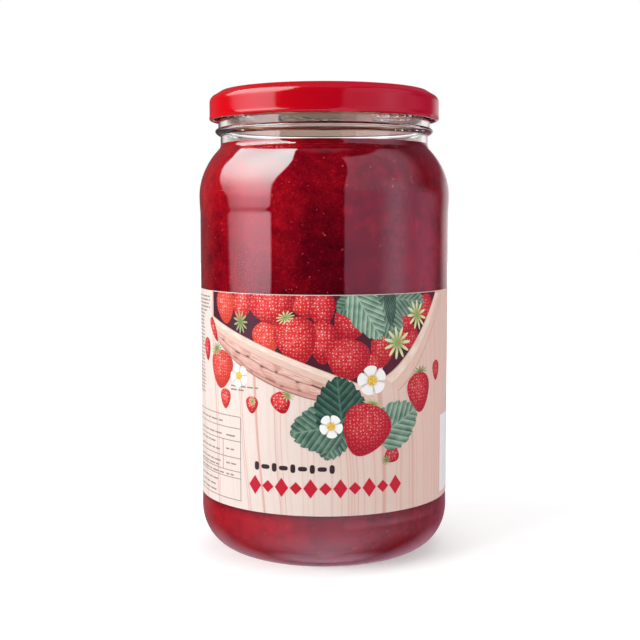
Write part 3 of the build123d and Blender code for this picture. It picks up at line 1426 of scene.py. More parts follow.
    def build(self) -> list[Piece]:
        """Makes the body and what lies in it.

        Returns:
            The pieces, the body first.
        """
        random = np.random.default_rng(self.seed)
        group = pulp_group()
        body = self.body().made("jam", [Pulp("berry_jam").made(group)], crease=60)
        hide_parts("jam")
        fruit = self.fruit(random)
        pips = self.grains(random, self.pip_count, (0.55 * MM, 0.36 * MM, 0.3 * MM), 0.12 * MM)
        froth = self.grains(random, self.froth_count, (0.22 * MM, 0.22 * MM, 0.16 * MM), 0.0)
        pieces = [body, fruit.made("jam_fruit", [Fruit().made(group)])]
        pieces.append(pips.made("jam_pips", [Grain.PIP.made()]))
        pieces.append(froth.made("jam_froth", [Grain.FROTH.made()]))
        return pieces


# ---- Lid ----


@dataclass
class Lid:
    """A lacquered twist-off lid: one sheet, rolled at its edge and pressed in at its lugs."""

    curl_outer: float
    bottom: float
    top: float
    columns: int = 432
    sheet: float = 0.25 * MM
    curl_radius: float = 0.85 * MM
    curl_reach: float = 0.15 * MM
    corner_radius: float = 2.8 * MM
    corner_turn: float = 69.0
    red_curl: float = 0.62
    ring_rise: float = 1.5 * MM
    ring_inset: float = 4.2 * MM
    ring_width: float = 3.9 * MM
    ring_round: float = 0.75 * MM
    panel_drop: float = 0.8 * MM
    panel_slope: float = 1.0 * MM
    panel_round: float = 0.6 * MM
    button_radius: float = 13.0 * MM
    button_rise: float = 0.35 * MM
    button_slope: float = 1.4 * MM
    button_round: float = 1.2 * MM
    lugs: int = 6
    lug_phase: float = 9.0
    lug_half: float = 6.75
    lug_edge: float = 2.2
    lug_reach: float = 0.95 * MM
    dent_depth: float = 0.6 * MM
    dent_height: float = 1.9 * MM

    @classmethod
    def from_frame(cls) -> "Lid":
        """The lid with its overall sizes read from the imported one."""
        low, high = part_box("lid")
        return cls(high.x, low.z, high.z)

    @property
    def skirt(self) -> float:
        """Radius of the outside of the skirt."""
        return self.curl_outer - self.curl_reach

    def outer_path(self) -> Array:
        """The outside from the middle of the top to where the skirt meets the curl.

        Returns:
            The path, from the axis.
        """
        corner_centre = (self.skirt - self.corner_radius, 0.0)
        turned = np.radians(self.corner_turn)
        skirt_top = self.top - self.ring_rise - self.corner_radius * np.sin(turned)
        corner = arc(corner_centre, (self.corner_radius,) * 2, self.corner_turn, -self.corner_turn, 18)
        corner[:, 1] += skirt_top
        ring_outer = self.skirt - self.ring_inset
        ring_inner = ring_outer - self.ring_width
        panel = self.top - self.panel_drop
        button = panel + self.button_rise
        top = rounded(
            [
                (0, button),
                (self.button_radius, button),
                (self.button_radius + self.button_slope, panel),
                (ring_inner - self.panel_slope, panel),
                (ring_inner, self.top),
                (ring_outer, self.top),
                tuple(corner[0]),
                tuple(corner[1]),
            ],
            [self.button_round] * 2 + [self.panel_round] + [self.ring_round] * 2 + [self.sheet],
            7,
        )
        centre = self.skirt + self.curl_reach - self.curl_radius
        meet = np.sqrt(self.curl_radius**2 - (self.skirt - centre) ** 2)
        foot = (self.skirt, self.bottom + self.curl_radius + meet)
        return resampled(chained(top, corner[1:], foot), 0.8 * MM)

    def curl_path(self) -> Array:
        """The rolled edge: round its circle from the outside of the skirt to the inside.

        Returns:
            The path.
        """
        centre = np.array([self.curl_outer - self.curl_radius, self.bottom + self.curl_radius])
        first = np.degrees(np.arccos((self.skirt - centre[0]) / self.curl_radius))
        last = np.degrees(np.arccos((self.skirt - self.sheet - centre[0]) / self.curl_radius))
        return arc(centre, (self.curl_radius,) * 2, first, last - 360 - first, 30)

    def inner_path(self, outer: Array) -> Array:
        """The outside path moved in by the sheet's thickness along its normals.

        Args:
            outer: the outside, from the middle to the skirt.

        Returns:
            The inside, from the skirt to the middle.
        """
        along = np.gradient(outer, axis=0)
        normal = np.column_stack([along[:, 1], -along[:, 0]])
        normal /= np.linalg.norm(normal, axis=1)[:, None]
        inner = outer + normal * self.sheet
        inner[0, 0] = 0.0
        inner[:, 0] = np.maximum.accumulate(np.minimum(inner[:, 0], self.skirt - self.sheet))
        return inner[::-1][1:]

    def skin(self) -> Skin:
        """The whole section spun round Z.

        Near each lug, points below the dent's top are held inside a slanting plane,
        r = plane / cos(turn from the lug), and the inner half of the curl is drawn in towards the glass.

        Returns:
            The lid as one closed skin, whose finishes are 0 outside and 1 inside.
        """
        outer, curl = self.outer_path(), self.curl_path()
        path = chained(outer, curl, self.inner_path(outer))
        turn = full_turn(self.columns)[None, :]
        radius = np.repeat(path[:, :1], self.columns, axis=1)
        height = np.repeat(path[:, 1:], self.columns, axis=1)
        centre = self.curl_outer - self.curl_radius
        rise = (path[:, 1:] - self.bottom - self.curl_radius) / self.curl_radius
        inward = np.clip((centre - path[:, :1]) / self.curl_radius, 0, 1) * (rise < 1.2)
        below = 1 - np.clip((path[:, 1:] - self.bottom) / self.dent_height, 0, 1)
        for lug in range(self.lugs):
            apart = np.degrees(angle_apart(turn, np.radians(self.lug_phase + lug * 360 / self.lugs)))
            tab = smooth_step(self.lug_half, self.lug_half - self.lug_edge, np.abs(apart))
            radius = radius - self.lug_reach * tab * np.sqrt(inward)
            plane = self.curl_outer - self.dent_depth * below
            chord = plane / np.cos(np.radians(np.clip(apart, -30, 30)))
            held = (below > 0) & (path[:, :1] > centre)
            radius = np.where(held, np.minimum(radius, chord), radius)
        skin = capped(round_axis(radius, height, turn))
        turning = len(outer) + int(self.red_curl * len(curl))
        inside = np.repeat(np.arange(len(path) - 3) > turning, self.columns)
        ends = np.repeat([False, True], self.columns)
        skin.finishes = np.concatenate([inside, ends]).astype(int)
        return skin

    def build(self) -> Piece:
        """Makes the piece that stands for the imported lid.

        Returns:
            The piece.
        """
        made = self.skin().made("twist_off_lid", [Lacquer.RED.made(), Lacquer.GOLD.made()])
        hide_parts("lid")
        return made


# ---- Label and its print ----


@dataclass
class Paper:
    """The paper ring and how a place on it maps to space. Places on it are in millimetres."""

    radius: float
    bottom: float
    top: float
    thickness: float = 0.1 * MM
    lap_half: float = 5.0
    layer: float = 0.014 * MM
    sunk: float = 0.03 * MM
    margin: float = 0.25
    columns: int = 640
    rows: int = 40

    @classmethod
    def from_frame(cls) -> "Paper":
        """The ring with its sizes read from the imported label."""
        low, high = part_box("label")
        return cls(high.x, low.z, high.z)

    @property
    def height(self) -> float:
        """Height of the ring, in millimetres."""
        return (self.top - self.bottom) / MM

    def at(self, across: Array, up: Array, layer: float) -> Array:
        """The point over a place on the label, this many layers of ink above the paper."""
        return round_axis(self.radius + layer * self.layer, self.bottom + up * MM, across * MM / self.radius)

    def under(self, across: Array, up: Array) -> Array:
        """The point just below the paper's surface, where a patch of ink has its back."""
        return round_axis(self.radius - self.sunk, self.bottom + up * MM, across * MM / self.radius)

    def place_mark(self, across: Array, up: Array) -> Array:
        """The place on the label in centimetres, as the finishes read it."""
        across, up = np.broadcast_arrays(across, up)
        return np.stack([across / 10, up / 10, 0 * across], axis=-1)

    def patch(self, across: Array, up: Array, layer: float, shape: Array) -> Skin:
        """A patch of ink whose rows are rings, from a single point in its middle to its outline.

        Args:
            across: distances across the label.
            up: heights on it, kept a hair inside its edges.
            layer: how many layers of ink it lies on.
            shape: its own coordinates, for the finish.

        Returns:
            A closed skin, with its back under the paper's surface.
        """
        up = np.clip(up, self.margin, self.height - self.margin)
        grid = np.concatenate([self.at(across, up, layer), self.under(across, up)[::-1]])
        place = self.place_mark(across, up)
        marks = {"place": place, "shape": shape}
        return capped(grid, {mark: np.concatenate([rows, rows[::-1]]) for mark, rows in marks.items()})

    def band(self, across: Array, up: Array, layer: float, shape: Array) -> Skin:
        """A four-sided patch of ink.

        Args:
            across: distances across the label, as a grid.
            up: heights on it, kept a hair inside its edges.
            layer: how many layers of ink it lies on.
            shape: its own coordinates, for the finish.

        Returns:
            A closed skin, with its back under the paper's surface.
        """
        up = np.clip(up, self.margin, self.height - self.margin)
        marks = {"place": self.place_mark(across, up), "shape": shape}
        return slab(self.at(across, up, layer), self.under(across, up), marks)

    def box(self, left: float, low: float, width: float, height: float) -> Skin:
        """A rectangle of ink, cut into steps of about a millimetre round the label."""
        across, up = np.meshgrid(left + np.linspace(0, width, int(width) + 2), low + np.array([0, height]))
        return self.band(across, up, 1.0, self.place_mark(across, up))

    def build(self, finish: Material) -> Piece:
        """Makes the ring, a closed band of paper, thicker at the back where it laps over itself.

        Args:
            finish: its material.

        Returns:
            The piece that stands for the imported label.
        """
        turn = np.linspace(-np.pi, np.pi, self.columns + 1)
        lap = np.degrees(np.pi - np.abs(turn)) < self.lap_half
        up = np.linspace(0, self.height, self.rows)[:, None]
        across = turn[None, :-1] * self.radius / MM
        lift = (lap * self.thickness / self.layer)[None, :-1]
        outer = self.at(across, up, lift)
        inner = round_axis(self.radius - self.thickness, self.bottom + up * MM, turn[None, :-1])
        points = np.concatenate([outer, inner[::-1]])
        place = self.place_mark(across, up)
        marks = np.concatenate([place, place[::-1]])
        loop = np.concatenate([points, points[:1]])
        quads = grid_quads(len(loop), self.columns, True).reshape(-1, 4) % (len(points) * self.columns)
        skin = Skin(points.reshape(-1, 3), quads, np.empty((0, 3), int), {"place": marks.reshape(-1, 3)})
        made = skin.facing_out().made("label_paper", [finish], crease=30)
        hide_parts("label")
        return made


@dataclass(frozen=True)
class Motif:
    """Where one printed thing lies: its middle, half-sizes, turn in degrees, layer and tone."""

    across: float
    up: float
    half_width: float
    half_height: float
    turn: float = 0.0
    layer: float = 2.0
    tone: float = 0.0

    def spread(self, paper: Paper, outline: Array, gap: float = 0.7) -> Skin:
        """Fills an outline with rings that shrink to its middle.

        Args:
            paper: the label it lies on.
            outline: points round the middle, about one unit out.
            gap: the widest space between rings, in millimetres.

        Returns:
            The patch of ink.
        """
        rings = max(3, int(max(self.half_width, self.half_height) / gap))
        p = np.linspace(0, 1, rings + 1)[:, None]
        x, y = p * outline[:, 0], p * outline[:, 1]
        angle = np.radians(self.turn)
        wide, high = x * self.half_width, y * self.half_height
        across = self.across + wide * np.cos(angle) - high * np.sin(angle)
        up = self.up + wide * np.sin(angle) + high * np.cos(angle)
        shape = np.stack([x, y, np.full_like(x, self.tone)], axis=-1)
        return paper.patch(across, up, self.layer, shape)


def berry_outline() -> Array:
    """A plump berry, tip down: x = sin t (1 - 0.3 cos t) / 1.05 and y = -cos t, flatter at the top.

    Returns:
        Points, about one unit out.
    """
    t = np.linspace(0, 2 * np.pi, 56, endpoint=False)
    y = -np.cos(t)
    return np.column_stack([np.sin(t) * (1 - 0.3 * np.cos(t)) / 1.05, np.where(y > 0, y * 0.92, y)])


def leaf_outline() -> Array:
    """A toothed leaflet, tip up: a berry's outline upside down, with a saw edge added to its radius.

    The saw bulges over each tooth and drops back at its end, and fades out at the stalk.

    Returns:
        Points, about one unit out.
    """
    teeth, depth = 9, 0.13
    t = np.linspace(0, 2 * np.pi, 2 * teeth * 5, endpoint=False)
    saw = np.mod(np.abs(angle_apart(t, 0.0)) / np.pi * teeth, 1.0)
    fade = smooth_step(-1.0, -0.6, np.cos(t))
    radius = 1 + depth * (1 - saw**2) * fade
    return np.column_stack([np.sin(t) * (1 - 0.22 * np.cos(t)) * radius, np.cos(t) * radius])


def star_outline(points: int, thin: float, inner: float) -> Array:
    """A star of pointed lobes: radius = inner + (1 - inner) |cos(n t / 2)| ^ thin.

    Args:
        points: n, how many lobes.
        thin: more for thinner lobes.
        inner: radius between lobes.

    Returns:
        Points, at most one unit out.
    """
    t = np.linspace(0, 2 * np.pi, points * 12, endpoint=False)
    radius = inner + (1 - inner) * np.abs(np.cos(points * t / 2)) ** thin
    return np.column_stack([np.sin(t), np.cos(t)]) * radius[:, None]


def lozenge_outline(power: float) -> Array:
    """A lozenge: |x|^power + |y|^power = 1, with straight sides when the power is 1.

    Args:
        power: more for rounder sides.

    Returns:
        Points, at most one unit out.
    """
    t = np.linspace(0, 2 * np.pi, 40, endpoint=False)
    radius = (np.abs(np.sin(t)) ** power + np.abs(np.cos(t)) ** power) ** (-1 / power)
    return np.column_stack([np.sin(t), np.cos(t)]) * radius[:, None]


def bow(first: Floats, pull: Floats, last: Floats, share: Array) -> Array:
    """A curve from first to last, drawn towards pull: (1-s)^2 a + 2 s (1-s) b + s^2 c.

    Args:
        first: where it starts.
        pull: the point that it bends towards.
        last: where it ends.
        share: how far along each point is, from 0 to 1.

    Returns:
        One point for each share.
    """
    s = share[:, None]
    return (1 - s) ** 2 * np.asarray(first) + 2 * s * (1 - s) * np.asarray(pull) + s**2 * np.asarray(last)


@dataclass
class BasketPrint:
    """The printed basket: the dark inside it, its woven side and its pale rim."""

    paper: Paper
    rim_left: Floats = (-47.5, 67.2)
    rim_low: Floats = (17.5, 43.6)
    rim_pull: Floats = (-17.0, 57.0)
    right_low: Floats = (21.0, 47.6)
    right_pull: Floats = (31.5, 52.5)
    right_top: Floats = (47.0, 75.6)
    steps: int = 90

    def front_edge(self) -> Array:
        """The upper edge of the rim that runs down from the left."""
        return bow(self.rim_left, self.rim_pull, self.rim_low, np.linspace(0, 1, self.steps))

    def right_edge(self) -> Array:
        """The inner edge of the rim that runs up on the right."""
        return bow(self.right_low, self.right_pull, self.right_top, np.linspace(0, 1, self.steps))

    def strip(self, edge: Array, other: Array, layer: float, tone: float, rows: int = 8) -> Skin:
        """A band between two edges. Its marks are the length along it and the share across it.

        Args:
            edge: one edge.
            other: the other edge, point for point.
            layer: how many layers of ink it lies on.
            tone: the tone that all of it carries.
            rows: how many points across it.

        Returns:
            The band's skin.
        """
        share = np.linspace(0, 1, rows)[:, None]
        across = (1 - share) * edge[:, 0] + share * other[:, 0]
        up = (1 - share) * edge[:, 1] + share * other[:, 1]
        length = np.concatenate([[0], np.cumsum(np.linalg.norm(np.diff(edge, axis=0), axis=1))]) / 10
        shape = np.stack(np.broadcast_arrays(length[None, :], share, tone * np.ones_like(across)), axis=-1)
        return self.paper.band(across, up, layer, shape)

    def inside(self) -> Skin:
        """The dark between the berries, from the rim up to the label's edge.

        Returns:
            The patch's skin.
        """
        floor = np.vstack([self.front_edge(), self.right_edge()])
        across, low = floor[:, 0], floor[:, 1]
        share = np.linspace(0, 1, 30)[:, None]
        up = low + share * (self.paper.height - low)
        return self.paper.band(np.broadcast_to(across, up.shape), up, 1.0, self.paper.place_mark(across, up))

    def wicker(self) -> Skin:
        """Rim and side on the left, and the rim alone on the right.

        The rim is 4.4 to 5 mm wide. The side hangs under it, and bellies out along a sine.

        Returns:
            The three bands as one skin.
        """
        front, right = self.front_edge(), self.right_edge()
        s = np.linspace(0, 1, self.steps)
        rim_drop = np.column_stack([0.8 - 0.6 * s, -4.4 - 0.6 * s])
        side_drop = np.column_stack([3.4 - 2.4 * s, -8.0 - 6.6 * np.sin(np.pi * s) ** 0.7 + 3.0 * s])
        right_drop = np.column_stack([6.6 - 1.2 * s, -5.0 + 4.2 * s])
        return joined(
            [
                self.strip(front + rim_drop * 0.95, front + side_drop, 6.0, 0.0, 12),
                self.strip(front, front + rim_drop, 7.0, 1.0),
                self.strip(right, right + right_drop, 6.0, 1.0),
            ]
        )


@dataclass
class FruitPrint:
    """The printed berries, leaves, flowers and sepals, one row of a Motif's sizes for each.

    The berries lie in the basket, in front of it, and fallen round it. Pale leaflets lie in the
    basket, and dark ones below it. Flowers lie on the rim, at the left and on the dark leaf, and
    sepals on the stalk ends that show.
    """

    paper: Paper
    berries: Sequence[Floats] = (
        (-39.5, 71.5, 5.2, 6.5, 8, 2, 0.9),
        (-31.0, 72.0, 4.4, 5.6, -12, 3, 0.3),
        (-7.0, 73.0, 4.8, 5.0, 30, 2, 0.1),
        (-0.8, 71.0, 4.4, 6.6, -5, 3, 0.0),
        (-18.3, 73.0, 9.3, 7.4, 20, 4, 0.1),
        (8.8, 66.5, 6.2, 6.6, -25, 2.5, 0.0),
        (-20.6, 61.6, 5.4, 5.8, 25, 3, 0.8),
        (-0.6, 60.2, 5.2, 7.6, 0, 3.5, 0.0),
        (-9.8, 60.8, 7.5, 8.6, 14, 5, 0.1),
        (20.6, 57.0, 4.8, 6.2, -10, 3, 0.2),
        (16.8, 52.6, 3.4, 3.6, 0, 4, 0.5),
        (8.0, 54.2, 7.8, 7.6, -8, 5, 0.1),
        (30.6, 66.8, 3.2, 5.4, 8, 4, 0.2),
        (32.5, 60.5, 4.4, 5.2, 40, 3, 0.2),
        (40.5, 70.5, 4.6, 5.4, 25, 3, 0.3),
        (14.6, 29.8, 9.0, 9.6, -24, 10, 0.0),
        (37.2, 41.2, 6.0, 7.4, 4, 8, 0.1),
        (-42.0, 49.0, 6.6, 7.2, -4, 8, 0.7),
        (48.2, 47.8, 2.6, 3.8, 0, 2, 0.2),
        (-47.0, 62.6, 1.7, 5.0, 32, 8, 0.1),
        (-53.2, 55.0, 3.0, 4.4, 8, 3, 0.0),
        (-39.6, 38.6, 2.9, 3.7, 0, 3, 0.5),
        (-26.6, 37.6, 2.6, 3.1, 0, 3, 0.2),
        (-15.2, 39.2, 3.7, 4.0, 18, 3, 0.0),
        (24.4, 20.2, 3.0, 3.2, -60, 3, 0.0),
    )
    leaves: Sequence[Floats] = (
        (9.6, 73.6, 4.6, 5.6, 120, 4.5, 0.35),
        (21.0, 73.4, 7.0, 7.6, 170, 5, 0.30),
        (14.6, 69.6, 5.6, 9.2, 212, 7, 0.95),
        (23.6, 66.6, 4.8, 8.0, 196, 6, 0.55),
        (31.0, 73.8, 5.2, 7.4, 262, 6.5, 0.55),
        (23.4, 72.6, 2.2, 6.6, 185, 8, 0.05),
        (5.2, 38.6, 8.0, 8.8, 6, 9, 0.0),
        (-2.4, 30.2, 7.4, 8.6, 100, 8, 0.32),
        (2.6, 27.2, 6.0, 7.0, 165, 7, 0.38),
        (26.6, 31.0, 7.4, 9.2, -62, 8, 0.72),
    )
    blossoms: Sequence[Floats] = (
        (16.6, 46.7, 5.4, 5.2, 10, 10, 0),
        (-32.4, 47.2, 4.2, 4.0, 25, 8.5, 0),
        (2.2, 31.3, 4.0, 4.2, 40, 10.5, 0),
    )
    sepals: Sequence[Floats] = (
        (26.6, 59.2, 5.6, 5.8, 10, 9, 1.0),
        (35.6, 68.4, 4.6, 5.6, 30, 9, 1.0),
        (-31.5, 66.2, 3.2, 4.2, 10, 6, 0.45),
        (-13.6, 68.4, 3.6, 2.2, 20, 7, 0.8),
        (17.0, 38.6, 4.2, 1.8, -20, 9.5, 0.7),
        (37.6, 48.2, 4.0, 2.0, 5, 7, 0.25),
        (-26.4, 38.8, 1.5, 1.9, 0, 4, 0.7),
        (-12.8, 41.8, 2.6, 2.2, -30, 4, 0.6),
        (22.2, 18.6, 1.9, 1.9, 0, 4, 0.3),
        (-45.0, 55.6, 3.6, 2.4, 20, 9, 0.5),
    )

    def skins(self) -> dict[str, Skin]:
        """Each kind of thing as one skin.

        Returns:
            The skins by their kind.
        """
        kinds = {
            "berries": (self.berries, berry_outline()),
            "leaves": (self.leaves, leaf_outline()),
            "blossoms": (self.blossoms, star_outline(5, 0.32, 0.72)),
            "sepals": (self.sepals, star_outline(11, 1.9, 0.26)),
        }
        return {
            name: joined([Motif(*row).spread(self.paper, outline) for row in rows])
            for name, (rows, outline) in kinds.items()
        }


@dataclass
class SmallPrint:
    """The side panels: grey dashes in the place of text, a ruled table and a blank white field."""

    paper: Paper
    row_gap: float = 1.3
    row_height: float = 0.55
    dash_lengths: Floats = (1.2, 5.0)
    dash_gap: float = 0.7
    shortest: float = 1.0
    rule: float = 0.30
    seed: int = 11

    def row(self, random: Random, left: float, right: float, low: float) -> list[Skin]:
        """Dashes of random length along one row, with even gaps between them.

        Args:
            random: where the lengths are drawn from.
            left: where the row begins.
            right: where it ends.
            low: its height on the label.

        Returns:
            One skin for each dash.
        """
        dashes = []
        while left < right - self.shortest:
            length = min(random.uniform(*self.dash_lengths), right - left)
            dashes.append(self.paper.box(left, low, length, self.row_height))
            left += length + self.dash_gap
        return dashes

    def column(self, random: Random, left: float, right: float, top: float, rows: int) -> list[Skin]:
        """Rows under each other, the last one short.

        Args:
            random: where the lengths are drawn from.
            left: where the rows begin.
            right: where they end.
            top: the height of the first.
            rows: how many.

        Returns:
            One skin for each dash.
        """
        dashes = []
        for row in range(rows):
            end = right if row < rows - 1 else (left + right) / 2
            dashes += self.row(random, left, end, top - row * self.row_gap)
        return dashes

    def dashes(self) -> Skin:
        """All the dashes: the block on the left, the words in the table and the block at the back.

        Returns:
            The dashes as one skin.
        """
        random = np.random.default_rng(self.seed)
        dashes = self.column(random, -106.0, -56.5, 73.6, 29)
        dashes += self.column(random, -57.0, -50.5, 73.6, 5)
        dashes += self.column(random, -36.5, -24.0, 43.2, 2)
        for low in (29.9, 25.2, 21.8, 19.3, 15.2, 13.6, 11.2, 8.2, 6.0, 4.0):
            dashes += self.row(random, -61.5, -44.0 + random.uniform(-4, 4), low)
        for low in (25.2, 20.3, 15.2, 11.2):
            dashes += self.row(random, -39.5, -34.0, low)
        dashes += self.column(random, 78.0, 128.0, 70.0, 40)
        return joined(dashes)

    def rules(self) -> Skin:
        """The table's lines: seven level ones, its two sides, and one between two of its columns.

        Returns:
            The lines as one skin.
        """
        left, right, middle = -63.5, -32.0, -41.5
        heights = (2.6, 10.4, 12.8, 17.6, 23.6, 28.2, 32.4)
        low, top, inner_low, inner_top = heights[0], heights[-1], heights[2], heights[4]
        lines = [self.paper.box(left, height, right - left, self.rule) for height in heights]
        lines += [self.paper.box(x, low, self.rule, top - low) for x in (left, right)]
        lines.append(self.paper.box(middle, inner_low, self.rule, inner_top - inner_low))
        return joined(lines)

    def blank_field(self) -> Skin:
        """The white field on the right."""
        return self.paper.box(53.0, 2.0, 20.0, 28.5)


@dataclass(frozen=True)
class Border:
    """A plain row of marks, of two sizes in turn, that stands where a label has its name.

    The two halves are each size's half-width and half-height. The power is 1 for lozenges with
    straight sides, and the gap is the widest space between a mark's rings of points.
    """

    left: float
    right: float
    up: float
    count: int
    halves: Sequence[Floats]
    power: float
    gap: float

    def skin(self, paper: Paper) -> Skin:
        """The row on a label, as one skin.

        Args:
            paper: the label.

        Returns:
            The skin.
        """
        outline = lozenge_outline(self.power)
        marks = [
            Motif(across, self.up, *self.halves[number % 2]).spread(paper, outline, self.gap)
            for number, across in enumerate(np.linspace(self.left, self.right, self.count))
        ]
        return joined(marks)


LOZENGES = Border(-25.4, 26.0, 9.6, 11, ((2.5, 3.4), (2.2, 2.2)), 1.0, 0.5)
BEADS = Border(-24.6, 2.6, 16.4, 9, ((0.9, 1.5), (1.6, 0.8)), 3.0, 0.4)


@dataclass
class Label:
    """The paper ring with everything printed on it."""

    paper: Paper

    def build(self) -> list[Piece]:
        """Makes the ring and one piece for each kind of print.

        Returns:
            The pieces, the ring first.
        """
        paper = self.paper
        shop = PrintShop()
        basket = BasketPrint(paper)
        small = SmallPrint(paper)
        fruit = FruitPrint(paper).skins()
        prints = {
            "print_shade": (basket.inside(), shop.shade()),
            "print_basket": (basket.wicker(), shop.wicker()),
            "print_berries": (fruit["berries"], shop.berries()),
            "print_leaves": (fruit["leaves"], shop.leaves()),
            "print_blossoms": (fruit["blossoms"], shop.blossoms()),
            "print_sepals": (fruit["sepals"], shop.sepals()),
            "print_dashes": (small.dashes(), shop.plain("print_dashes", (0.28, 0.22, 0.20))),
            "print_rules": (small.rules(), shop.plain("print_rules", (0.28, 0.24, 0.22))),
            "print_field": (small.blank_field(), shop.plain("print_field", (0.82, 0.81, 0.82))),
            "print_lozenges": (LOZENGES.skin(paper), shop.plain("print_lozenges", (0.50, 0.008, 0.028))),
            "print_beads": (BEADS.skin(paper), shop.plain("print_beads", (0.022, 0.014, 0.016))),
        }
        pieces = [paper.build(shop.wood())]
        pieces += [skin.made(name, [ink], crease=30) for name, (skin, ink) in prints.items()]
        return pieces


# ---- Studio ----


@dataclass(frozen=True)
class Lamp:
    """A soft square lamp aimed at the jar. It lights, and the world holds its reflection."""

    name: str
    turn: float
    lift: float
    distance: float
    size: float
    power: float

    def build(self, target: Array) -> Piece:
        """Makes the lamp, turned so that its -Z points at the target.

        Args:
            target: the point it is aimed at.

        Returns:
            The lamp, linked to the scene.
        """
        data = bpy.data.lights.new(self.name, "AREA")
        data.shape = "SQUARE"
        data.size = self.size
        data.energy = self.power
        made = bpy.data.objects.new(self.name, data)
        turn, lift = np.radians(self.turn), np.radians(self.lift)
        made.location = target + round_axis(self.distance * np.cos(lift), self.distance * np.sin(lift), turn)
        made.rotation_euler = (np.pi / 2 - lift, 0.0, turn)
        made.visible_glossy = False
        bpy.context.scene.collection.objects.link(made)
        return made


